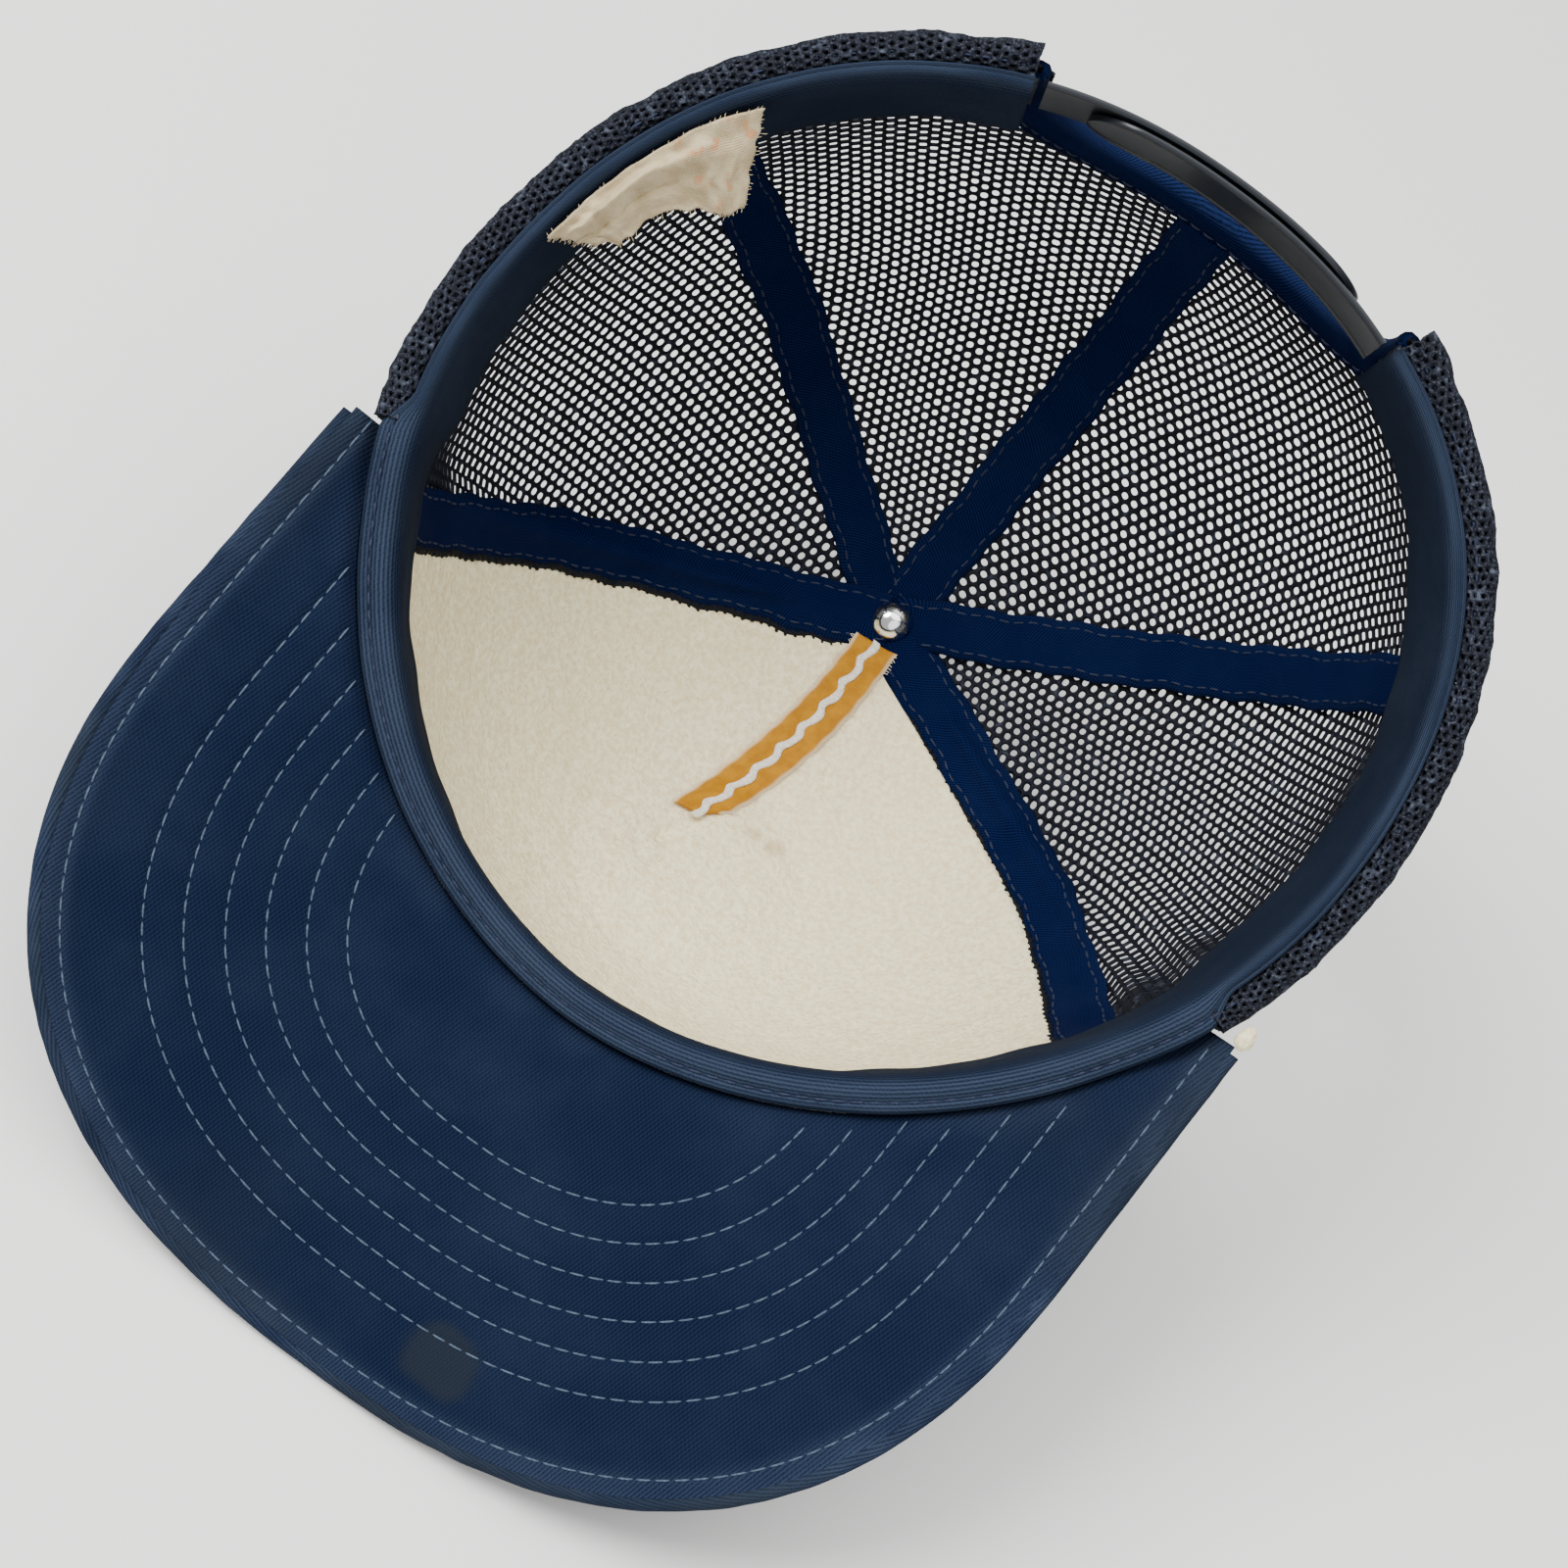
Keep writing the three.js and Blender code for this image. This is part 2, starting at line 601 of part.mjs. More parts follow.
const boardTop = COVER + LAYER_GAP;
const lowerTop = boardTop + BOARD + LAYER_GAP;
add('brim_under_cover', brimSheet(0, COVER, 0), twill);
add('brim_board', brimSheet(boardTop, boardTop + BOARD, BRIM_MARGIN), finish(0xd8d2c2, 0.7));
add('brim_top_cover', brimSheet(lowerTop, lowerTop + COVER, 0), twill);
const rollOutline = [[0, 0], [1, 0], [1, 1], [0, 1]].map(([a, b]) => new THREE.Vector2(a, b));
add('brim_edge_roll', loft(rollSections(), rollOutline), twill);

add('arch_binding', archBinding(), twill);
add('hole_strap', holeStrap(), plastic);
add('peg_strap', pegStrap(), plastic);
add('strap_tab_left', strapTab(-1), plastic);
add('strap_tab_right', strapTab(1), plastic);

add('top_button', button(), twill);
add('button_rivet', rivet(), finish(0xd9dadb, 0.12, 1));

// Tip the cap forwards and stand it on its lowest point, with the origin at the middle of its footprint.
cap.rotation.x = radians(TILT);
const group = new THREE.Group();
group.add(cap);
const extent = new THREE.Box3().setFromObject(group, true);
const middle = extent.getCenter(new THREE.Vector3());
cap.position.set(-middle.x, -middle.y, -extent.min.z);

export default group;
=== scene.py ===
"""A trucker mesh cap lying upside down: cloth, knitted mesh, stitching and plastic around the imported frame.

Pieces are shaped in the cap's own frame, in millimetres, where the rim lies in the plane z = 0, the head
opening faces +z, -y is the brim and +x is the wearer's right. world() turns that into the row frame.
"""
import json
import math

import bpy
import bmesh
import numpy as np
from mathutils import Matrix, Vector

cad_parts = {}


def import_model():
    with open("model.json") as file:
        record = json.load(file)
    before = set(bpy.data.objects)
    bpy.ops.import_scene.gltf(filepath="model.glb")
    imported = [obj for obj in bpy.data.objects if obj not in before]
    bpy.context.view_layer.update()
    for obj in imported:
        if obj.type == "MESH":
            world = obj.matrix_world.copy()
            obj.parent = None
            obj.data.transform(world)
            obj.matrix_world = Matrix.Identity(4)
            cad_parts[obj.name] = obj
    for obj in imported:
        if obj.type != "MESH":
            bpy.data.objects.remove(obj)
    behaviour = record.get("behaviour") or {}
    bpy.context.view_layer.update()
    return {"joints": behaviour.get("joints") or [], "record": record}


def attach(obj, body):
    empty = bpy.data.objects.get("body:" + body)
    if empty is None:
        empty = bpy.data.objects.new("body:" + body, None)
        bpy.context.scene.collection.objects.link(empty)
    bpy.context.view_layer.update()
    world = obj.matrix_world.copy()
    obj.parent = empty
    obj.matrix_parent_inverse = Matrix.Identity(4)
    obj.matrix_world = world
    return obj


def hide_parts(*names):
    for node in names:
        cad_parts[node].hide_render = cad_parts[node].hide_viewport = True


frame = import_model()
scene = bpy.context.scene

# ---------------------------------------------------------------- the cap's frame inside the row frame

OPENING = next(m for m in frame["record"]["mounts"] if m["name"] == "head_opening")
AXIS = Vector(frame["joints"][0]["axis"]).normalized()  # the cap's own +z
TILT = math.atan2(-AXIS.y, AXIS.z)
RIM_CENTRE = Vector(OPENING["pos_m"])
MM = 0.001


def unit(vectors):
    return vectors / (np.linalg.norm(vectors, axis=-1, keepdims=True) + 1e-12)


def distances(path):
    """How far along a path each of its points is."""
    return np.concatenate([[0], np.cumsum(np.linalg.norm(np.diff(path, axis=0), axis=-1))])


def row_frame(points):
    """Points in the cap's frame, in mm, as points in the row frame, in metres."""
    p = np.asarray(points, float)
    c, s = math.cos(TILT), math.sin(TILT)
    x, y, z = p[..., 0], p[..., 1], p[..., 2]
    turned = np.stack([x, y * c - z * s, y * s + z * c], -1)
    return turned * MM + np.array(RIM_CENTRE)


STRETCH, SQUEEZE = 0.03, 0.028  # the worn rim is longer along one line and shorter across it
LONG_WAY = (0.79, 0.61)  # that line, from the front left to the back right
STIFF_Y, SOFT_Y = -170, -80  # the brim's tip keeps its shape; behind SOFT_Y the whole change applies


def world(points):
    """The same for the cap itself, which has gone a little out of round with wear."""
    p = np.array(points, float)
    (ex, ey), x, y = LONG_WAY, p[..., 0], p[..., 1]
    crown_share = np.clip((y - STIFF_Y) / (SOFT_Y - STIFF_Y), 0, 1)
    longer = STRETCH * crown_share * (ex * x + ey * y)
    shorter = -SQUEEZE * (ex * y - ey * x)
    dx, dy = ex * longer - ey * shorter, ey * longer + ex * shorter
    # The change keeps every height above the resting surface.
    return row_frame(p + np.stack([dx, dy, -dy * math.tan(TILT)], -1))


def world_matrix(place, right, up):
    """A camera or lamp's matrix from its place and axes in the cap's frame."""
    right, up = Vector(right).normalized(), Vector(up).normalized()
    back = right.cross(up)
    own = Matrix((right, up, back)).transposed().to_4x4()
    turn = Matrix.Rotation(TILT, 4, "X")
    matrix = turn @ own
    matrix.translation = Vector(row_frame(place))
    return matrix


# ---------------------------------------------------------------- camera

CAMERA_PLACE = (3.0, -39.6, 490.0)  # above the opening, looking straight down the cap's axis
IMAGE_RIGHT = (0.79, 0.61, 0.0)
IMAGE_UP = (-0.61, 0.79, 0.0)
FOCAL_LENGTH = 67.3

camera_data = bpy.data.cameras.new("camera")
camera_data.sensor_width = 36
camera_data.lens = FOCAL_LENGTH
camera_data.clip_start = 0.01
camera = bpy.data.objects.new("camera", camera_data)
scene.collection.objects.link(camera)
camera.matrix_world = world_matrix(CAMERA_PLACE, IMAGE_RIGHT, IMAGE_UP)
scene.camera = camera

# ---------------------------------------------------------------- dimensions (mm), as in the CAD model

HALF_WIDTH, FRONT_REACH, BACK_REACH = 91.0, 95.0, 91.0
FRONT_ROUND, BACK_ROUND = 1.9, 2.15
CROWN_DEPTH = 112.0
FLATNESS, BULGE = 2 / 3, 3.0
FRONT_BOX, BACK_BOX = 1.15, 1.2
FRONT_SEAM, SIDE_SEAM, BACK_SEAM = 59.0, 117.5, 180.0
CORNER_Y = -31.0
BRIM_HALF_WIDTH, BRIM_ROUND_Y, BRIM_TIP_Y, BRIM_ROUND = 90.4, -80.5, -168.4, 2.33
BRIM_BOW, BRIM_SLOPE, BRIM_THICK = 24.0, 0.16, 3.5
ARCH_HALF, ARCH_HEIGHT, ARCH_ROUND = 38.0, 40.0, 4.0
TAPE_WIDTH = 12.0
RIM_TURN = 92.0  # rim length per radian, about
GORE_LENGTH = 165.0  # from the button down to the rim
STRAP_TOP, STRAP_HEIGHT, STRAP_THICK, STRAP_INSET, STRAP_GAP = -1.5, 20.0, 1.2, 2.9, 0.5
STRAP_PLAY, HOLE_STRAP_END, PEG_STRAP_END = 1.2, 28.0, -28.5
PEG_PITCH, PEG_COUNT = 8.4, 6

# ---------------------------------------------------------------- the crown's surface


def smooth(t):
    t = np.clip(t, 0, 1)
    return t * t * (3 - 2 * t)


def rim_radius(az):
    """Distance from the axis to the rim. Azimuth 0 is the front, positive towards the wearer's right."""
    s, c = np.abs(np.sin(az)), np.cos(az)
    reach = np.where(c > 0, FRONT_REACH, BACK_REACH)
    n = np.where(c > 0, FRONT_ROUND, BACK_ROUND)
    return ((s / HALF_WIDTH) ** n + (np.abs(c) / reach) ** n) ** (-1 / n)


def brim_height(x, y):
    across = np.minimum(np.abs(x) / HALF_WIDTH, 1)
    return -BRIM_BOW * (1 - across * across) + BRIM_SLOPE * (CORNER_Y - y)


def rim_height(az):
    r = rim_radius(az)
    x, y = r * np.sin(az), -r * np.cos(az)
    return smooth((CORNER_Y - y) / 16) * brim_height(x, y)


def boxiness(az):
    front = 0.5 + 0.5 * np.cos(az)
    return BACK_BOX + (FRONT_BOX - BACK_BOX) * front


def skin(az, drop):
    """The crown's outer face. drop is 0 at the top and 1 at the rim."""
    turn = np.clip(drop, 0, 1) * math.pi / 2
    depth = np.clip(np.cos(turn), 0, 1) ** FLATNESS  # 1 at the top, 0 at the rim
    bulge = BULGE * np.cos(az) ** 2 * 4 * depth * (1 - depth)
    r = rim_radius(az) * np.sin(turn) ** boxiness(az) + bulge
    rim = rim_height(az)
    z = rim - (CROWN_DEPTH + rim) * depth
    return np.stack([r * np.sin(az), -r * np.cos(az), z], -1)


def axis_distance(az, drop):
    p = skin(az, drop)
    return np.hypot(p[..., 0], p[..., 1])


def drop_at_height(az, z):
    rim = rim_height(az)
    depth = np.clip((rim - z) / (CROWN_DEPTH + rim), 0, 1)
    return np.arccos(depth ** (1 / FLATNESS)) * 2 / math.pi


def drop_at_radius(az, radius):
    az, radius = np.broadcast_arrays(np.asarray(az, float), np.asarray(radius, float))
    low, high = np.zeros(az.shape), np.full(az.shape, 0.7)
    for _ in range(26):
        mid = (low + high) / 2
        short = axis_distance(az, mid) < radius
        low, high = np.where(short, mid, low), np.where(short, high, mid)
    return high


def back_azimuth(x):
    """Azimuth on the back rim that lies x from the middle."""
    x = np.asarray(x, float)
    low, high = np.full(x.shape, math.pi / 2), np.full(x.shape, math.pi)
    for _ in range(40):
        mid = (low + high) / 2
        outside = rim_radius(mid) * np.sin(mid) > np.abs(x)
        low, high = np.where(outside, mid, low), np.where(outside, high, mid)
    return np.where(x < 0, -high, high)


UP = np.array([0.0, math.sin(TILT), math.cos(TILT)])
FLOOR = -RIM_CENTRE.z / MM  # height of the resting surface along UP


def xyz(x, y=0.0, z=0.0):
    """Points from coordinates, each a number or an array."""
    return np.stack(np.broadcast_arrays(x, y, z), -1)


def lattice(p, scale, seed):
    """Smooth noise from -1 to 1 at points p, with lumps about scale across."""
    q = np.asarray(p, float) / scale + seed * 17.17
    cell = np.floor(q).astype(np.int64)
    f = q - cell
    f = f * f * (3 - 2 * f)
    total = np.zeros(q.shape[:-1])
    for corner in range(8):
        step = np.array([corner & 1, corner >> 1 & 1, corner >> 2 & 1])
        k = cell + step
        h = k[..., 0] * 374761393 + k[..., 1] * 668265263 + k[..., 2] * 2147483647 + seed * 974711
        h = h & 0xFFFFFFFF
        h = ((h ^ (h >> 13)) * 1274126177) & 0xFFFFFFFF
        value = ((h ^ (h >> 16)) & 0xFFFF) / 32767.5 - 1
        total += value * np.prod(np.where(step == 1, f, 1 - f), -1)
    return total


def sway(az, drop):
    """How far the soft crown stands in from its drawn shape: slack cloth between the rim and the button."""
    p = skin(az, drop)
    free = smooth((-24 - p[..., 2]) / 22) * smooth((np.hypot(p[..., 0], p[..., 1]) - 12) / 25)
    back = smooth((np.abs(az) - math.radians(55)) / 0.25)
    slack = 1.3 * lattice(p, 34, 3) + 0.5 * lattice(p, 13, 5)
    # Creases in the mesh beside the front tapes, where it is bunched into the seam.
    crease = 0
    for side, away, deep in ((-1, 7.5, 2.6), (1, 8.0, 2.2), (1, 17.0, 1.2)):
        off = (az * side - math.radians(FRONT_SEAM + away)) / math.radians(2.6)
        crease = crease + deep * np.exp(-off * off)
    return free * (back * (slack + crease) + (1 - back) * 0.5 * slack)


def bow(az, drop):
    """How far round the axis the slack seams beside the front have swung at half depth."""
    lower = smooth((drop - 0.45) / 0.5)
    left = smooth((-0.44 - az) / 0.5) * smooth((az + 2.9) / 0.8) * (0.125 - 0.065 * lower)
    right = smooth((az - 0.44) / 0.5) * smooth((1.9 - az) / 0.7) * 0.10 * (1 - lower)
    return right - left


def outward_normal(az, drop):
    step = 0.004
    across = skin(az + step, drop) - skin(az - step, drop)
    down = skin(az, np.minimum(drop + step, 1)) - skin(az, np.maximum(drop - step, step))
    return unit(np.cross(across, down))


def crown(az, drop, inset=0.0, soft=True):
    """A point of the crown moved inwards, square to the face, and never below the resting surface."""
    az, drop = np.broadcast_arrays(np.asarray(az, float), np.asarray(drop, float))
    if soft:
        az = az + bow(az, drop)
    inset = np.broadcast_to(np.asarray(inset, float), az.shape)
    move = inset + (sway(az, drop) if soft else 0)
    p = skin(az, drop) - outward_normal(az, drop) * move[..., None]
    short = FLOOR + np.maximum(inset, 0) + 0.1 - p @ UP
    return p + np.maximum(short, 0)[..., None] * UP


# ---------------------------------------------------------------- meshes from grids and tubes


def plain_object(name, points, faces):
    """A mesh object in the row frame from points in the cap's frame."""
    mesh = bpy.data.meshes.new(name)
    mesh.from_pydata(world(points).tolist(), [], faces if isinstance(faces, list) else faces.tolist())
    mesh.validate()
    piece = bpy.data.objects.new(name, mesh)
    scene.collection.objects.link(piece)
    return piece


def make(name, points, faces, material, body="cap", cloth=None, extra=None):
    """A piece that rides on a body. cloth and extra are values at its points, for its material."""
    piece = plain_object(name, points, faces)
    mesh = piece.data
    mesh.materials.append(material)
    if cloth is not None and len(cloth) == len(mesh.vertices):
        put(mesh, "cloth", cloth, "FLOAT_VECTOR", "vector")
    for key, values in (extra or {}).items():
        put(mesh, key, values, "FLOAT", "value")
    mesh.shade_smooth()
    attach(piece, body)
    return piece


def put(mesh, name, values, kind, field):
    attribute = mesh.attributes.new(name, kind, "POINT")
    attribute.data.foreach_set(field, np.asarray(values, np.float32).ravel())


def face_outwards(piece):
    bm = bmesh.new()
    bm.from_mesh(piece.data)
    bmesh.ops.recalc_face_normals(bm, faces=bm.faces)
    bm.to_mesh(piece.data)
    bm.free()


def grid_faces(columns, rows, wrap_u=False, wrap_v=False, start=0):
    """Quads of a grid of points laid out as [column][row]."""
    i = np.arange(columns if wrap_u else columns - 1)
    j = np.arange(rows if wrap_v else rows - 1)
    i, j = (a.ravel() for a in np.meshgrid(i, j, indexing="ij"))
    k, m = (i + 1) % columns, (j + 1) % rows
    quads = np.stack([i * rows + j, k * rows + j, k * rows + m, i * rows + m], -1)
    return quads + start


def tube_faces(rings, sides, start=0, flip=False):
    """Faces of a tube of rings of points, with both ends capped."""
    last = start + (rings - 1) * sides
    faces = grid_faces(rings, sides, wrap_v=True, start=start).tolist()
    faces.append(list(range(start + sides - 1, start - 1, -1)))
    faces.append(list(range(last, last + sides)))
    return [face[::-1] for face in faces] if flip else faces


def slab(name, top, bottom, material, cloth=None, extra=None, flip=False, **more):
    """A closed sheet between two grids of points, shaped (columns, rows, 3)."""
    columns, rows = top.shape[:2]
    n = columns * rows
    points = np.concatenate([top.reshape(-1, 3), bottom.reshape(-1, 3)])
    quads = [grid_faces(columns, rows), grid_faces(columns, rows, start=n)[:, ::-1]]
    ring = np.concatenate([
        np.arange(rows), np.arange(1, columns) * rows + rows - 1,
        (columns - 1) * rows + np.arange(rows - 2, -1, -1), np.arange(columns - 2, 0, -1) * rows])
    ahead = np.roll(ring, -1)
    quads.append(np.stack([ring, ahead, ahead + n, ring + n], -1))
    faces = np.concatenate(quads)
    if flip:
        faces = faces[:, ::-1]
    if cloth is not None:
        cloth = np.concatenate([cloth.reshape(-1, 3)] * 2)
    extra = {k: np.concatenate([np.ravel(v)] * 2) for k, v in (extra or {}).items()}
    return make(name, points, faces, material, cloth=cloth, extra=extra, **more)


def frames_along(path, normals):
    """Unit sides and normals along a path of points."""
    tangent = unit(np.gradient(path, axis=0))
    side = unit(np.cross(normals, tangent))
    return side, np.cross(tangent, side)


class Bundle:
    """Many small closed tubes gathered into one piece, such as a row of stitches."""

    def __init__(self):
        self.points, self.faces, self.count = [], [], 0

    def tube(self, path, radius, sides=6, normal=(0, 0, 1)):
        path = np.asarray(path, float)
        n = len(path)
        side, up = frames_along(path, np.broadcast_to(np.asarray(normal, float), path.shape))
        t = np.linspace(0, 1, n)
        taper = np.sqrt(np.clip(1 - np.abs(2 * t - 1) ** 6, 0.12, 1))
        angle = (np.arange(sides) * 2 * math.pi / sides)[None, :, None]
        ring = np.cos(angle) * side[:, None] + np.sin(angle) * up[:, None]
        points = path[:, None] + ring * (radius * taper)[:, None, None]
        self.points.append(points.reshape(-1, 3))
        self.faces += tube_faces(n, sides, self.count)
        self.count += n * sides

    def done(self, name, material):
        return make(name, np.concatenate(self.points), self.faces, material)


def stitches(bundle, line, pitch, length, radius, lift=0.0, normal=(0, 0, 1), jitter=0.0, seed=1):
    """Stitches along a line of points. normal is one vector, or one for each point of the line."""
    along = distances(line)
    normal = np.broadcast_to(np.asarray(normal, float), line.shape)
    rng = np.random.default_rng(seed)
    for start in np.arange(0.4, along[-1] - length, pitch):
        s = start + np.linspace(0, length, 5) + rng.uniform(-jitter, jitter)
        path = np.stack([np.interp(s, along, line[:, k]) for k in range(3)], -1)
        up = unit(np.array([np.interp(s[2], along, normal[:, k]) for k in range(3)]))
        sink = np.array([-0.3, 0.1, 0.22, 0.1, -0.3])  # the ends dive into the cloth
        path = path + (lift + sink * radius * 2)[:, None] * up
        bundle.tube(path, radius, normal=up)


# ---------------------------------------------------------------- materials


class Shader:
    """Short ways to build a node material."""

    def __init__(self, name):
        self.material = bpy.data.materials.new(name)
        self.material.use_nodes = True
        self.tree = self.material.node_tree
        self.bsdf = self.tree.nodes["Principled BSDF"]
        self.put = self.tree.links.new

    def node(self, kind, inputs=(), **settings):
        made = self.tree.nodes.new("ShaderNode" + kind)
        for key, value in settings.items():
            setattr(made, key, value)
        for key, value in dict(inputs).items():
            if isinstance(value, bpy.types.NodeSocket):
                self.put(value, made.inputs[key])
            else:
                made.inputs[key].default_value = value
        return made

    def cloth(self):
        return self.node("Attribute", attribute_name="cloth").outputs["Vector"]

    def place(self):
        return self.node("TexCoord").outputs["Object"]

    def value(self, name):
        return self.node("Attribute", attribute_name=name).outputs["Fac"]

    def math(self, operation, a, b=0.0, c=0.0):
        return self.node("Math", {0: a, 1: b, 2: c}, operation=operation).outputs[0]

    def wave(self, phase):
        """A sine from 0 to 1."""
        return self.math("MULTIPLY_ADD", self.math("SINE", phase), 0.5, 0.5)

    def weave(self, cloth, axis, pitch):
        """A sine from -1 to 1 along one axis of the cloth."""
        parts = self.node("SeparateXYZ", {0: cloth})
        return self.math("SINE", self.math("MULTIPLY", parts.outputs[axis], 2 * math.pi / pitch))

    def noise(self, vector, scale, detail=3.0, rough=0.5, stretch=None):
        if stretch is not None:
            vector = self.node("Mapping", {"Vector": vector, "Scale": stretch}).outputs[0]
        inputs = {"Vector": vector, "Scale": scale, "Detail": detail, "Roughness": rough}
        return self.node("TexNoise", inputs).outputs["Fac"]

    def band(self, value, low, high):
        inputs = {"Value": value, "From Min": low, "From Max": high}
        return self.node("MapRange", inputs, interpolation_type="SMOOTHSTEP").outputs[0]

    def mix(self, factor, a, b):
        made = self.node("Mix", data_type="RGBA")
        for index, value in ((0, factor), (6, a), (7, b)):
            if isinstance(value, bpy.types.NodeSocket):
                self.put(value, made.inputs[index])
            else:
                made.inputs[index].default_value = value if index == 0 else (*value[:3], 1)
        return made.outputs[2]

    def bump(self, height, strength, distance, under=None):
        inputs = {"Height": height, "Strength": strength, "Distance": distance}
        if under is not None:
            inputs["Normal"] = under
        return self.node("Bump", inputs).outputs[0]

    def finish(self, color, roughness, normal=None, **sockets):
        for key, value in (("Base Color", color), ("Roughness", roughness)):
            if isinstance(value, bpy.types.NodeSocket):
                self.put(value, self.bsdf.inputs[key])
            else:
                self.bsdf.inputs[key].default_value = value if key == "Roughness" else (*value, 1)
        if normal is not None:
            self.put(normal, self.bsdf.inputs["Normal"])
        for key, value in sockets.items():
            self.bsdf.inputs[key.replace("_", " ")].default_value = value
        return self.material


def twill(name, dark, light, worn, rib=0.62, turn=0.0, fade=0.22, shine=0.07):
    """Cotton twill: fine diagonal ribs of light and dark yarn, faded in patches and worn on its edges."""
    s = Shader(name)
    cloth = s.cloth()
    turned = s.node("Mapping", {"Vector": cloth, "Rotation": (0, 0, turn)}).outputs[0]
    parts = s.node("SeparateXYZ", {0: turned})
    wobble = s.math("MULTIPLY", s.noise(cloth, 0.55, 2), 1.3)
    phase = s.math("MULTIPLY_ADD", parts.outputs[0], 2 * math.pi / rib, wobble)
    ribs = s.wave(phase)
    half = s.math("MULTIPLY", phase, 0.5)
    picks = s.wave(s.math("MULTIPLY_ADD", parts.outputs[1], 2 * math.pi / (rib * 1.35), half))
    fibre = s.noise(cloth, 2.6, 4, 0.65, stretch=(1.0, 3.0, 1.0))
    patches = s.noise(cloth, 0.03, 5, 0.65)
    yarn = s.math("MULTIPLY_ADD", ribs, 0.55, s.math("MULTIPLY", picks, 0.2))
    yarn = s.math("MULTIPLY_ADD", fibre, 0.5, yarn)
    base = s.mix(s.band(yarn, 0.25, 1.05), dark, light)
    pale = s.math("MULTIPLY", s.band(patches, 0.35, 0.75), fade)
    base = s.mix(s.math("MULTIPLY", pale, s.band(fibre, 0.3, 0.7)), base, worn)
    grain = s.band(s.math("ADD", fibre, s.math("MULTIPLY", ribs, 0.25)), 0.35, 0.8)
    base = s.mix(s.math("MULTIPLY", s.math("MULTIPLY", s.value("wear"), grain), 0.85), base, worn)
    base = s.mix(s.math("MULTIPLY", s.value("soil"), 0.75), base, (0.014, 0.018, 0.022))
    threads = s.math("MULTIPLY_ADD", picks, 0.25, s.math("MULTIPLY", fibre, 0.6))
    height = s.math("MULTIPLY_ADD", ribs, 0.6, threads)
    return s.finish(base, 0.95, s.bump(height, 0.55, 0.00018), Specular_IOR_Level=shine)


def fleece():
    """Thin foam with a napped face: cream, pebbled, a little browned by age."""
    s = Shader("cream_fleece")
    place = s.place()
    curl = s.noise(place, 900, 4, 0.6)
    blots = s.noise(place, 22, 4, 0.55)
    fine = s.noise(place, 2600, 3, 0.6)
    base = s.mix(s.band(curl, 0.32, 0.68), (0.84, 0.71, 0.42), (0.99, 0.92, 0.63))
    base = s.mix(s.math("MULTIPLY", s.band(blots, 0.45, 0.75), 0.25), base, (0.8, 0.66, 0.42))
    base = s.mix(s.math("MULTIPLY", s.value("soil"), 0.85), base, (0.42, 0.24, 0.11))
    height = s.math("MULTIPLY_ADD", curl, 1.0, s.math("MULTIPLY", fine, 0.35))
    normal = s.bump(height, 1.0, 0.0007)
    return s.finish(base, 0.95, normal, Specular_IOR_Level=0.12)


def knit(name, dark, light, rough=0.7, flecks=0.2):
    """Twisted synthetic thread, almost black, with paler fibres."""
    s = Shader(name)
    place = s.place()
    fibre = s.noise(place, 2400, 4, 0.7)
    lumps = s.noise(place, 420, 3, 0.6)
    tone = s.math("MULTIPLY_ADD", fibre, 0.6, s.math("MULTIPLY", lumps, 0.4))
    base = s.mix(s.band(tone, 0.4, 0.75), dark, light)
    base = s.mix(s.math("MULTIPLY", s.value("wear"), s.band(fibre, 0.5, 0.7)), base, (0.16, 0.18, 0.24))
    if flecks > 0:
        base = s.mix(s.math("MULTIPLY", s.band(lumps, 0.55, 0.75), flecks), base, (0.13, 0.15, 0.2))
    normal = s.bump(fibre, 0.6, 0.0002)
    return s.finish(base, rough, normal, Specular_IOR_Level=0.2)


def thread(name, color, dark):
    """Sewing thread with lighter and darker fibres."""
    s = Shader(name)
    fibre = s.noise(s.place(), 2200, 3, 0.6)
    base = s.mix(s.band(fibre, 0.35, 0.7), dark, color)
    return s.finish(base, 0.75, s.bump(fibre, 0.4, 0.0001), Specular_IOR_Level=0.35)


def gold_tape():
    """A glossy woven tape, amber, with a ribbed weave across it and a paler frayed edge."""
    s = Shader("gold_tape")
    cloth = s.cloth()
    weave = s.weave(cloth, 1, 0.55)
    tone = s.noise(cloth, 0.35, 3)
    base = s.mix(s.band(tone, 0.35, 0.7), (0.36, 0.145, 0.001), (0.44, 0.195, 0.003))
    base = s.mix(s.math("MULTIPLY", s.value("wear"), 0.9), base, (0.85, 0.66, 0.42))
    normal = s.bump(s.math("MULTIPLY_ADD", weave, 0.5, s.noise(cloth, 2.5, 3)), 0.35, 0.00015)
    return s.finish(base, 0.6, normal, Specular_IOR_Level=0.15)


def label_cloth():
    """Plain-woven label cloth, cream, rusty in spots."""
    s = Shader("label_cloth")
    cloth = s.cloth()
    warp, weft = s.weave(cloth, 0, 0.5), s.weave(cloth, 1, 0.5)
    tone = s.noise(cloth, 0.16, 4, 0.6)
    base = s.mix(s.band(tone, 0.3, 0.7), (0.42, 0.32, 0.175), (0.6, 0.5, 0.31))
    rust = s.math("MULTIPLY", s.band(s.noise(cloth, 0.3, 2), 0.56, 0.7), s.value("soil"))
    base = s.mix(s.math("MULTIPLY", rust, 0.7), base, (0.6, 0.22, 0.08))
    height = s.math("ADD", s.math("MULTIPLY", s.math("ADD", warp, weft), 0.25), s.noise(cloth, 1.2, 4))
    return s.finish(base, 0.9, s.bump(height, 0.5, 0.0003), Sheen_Weight=0.2, Specular_IOR_Level=0.2)


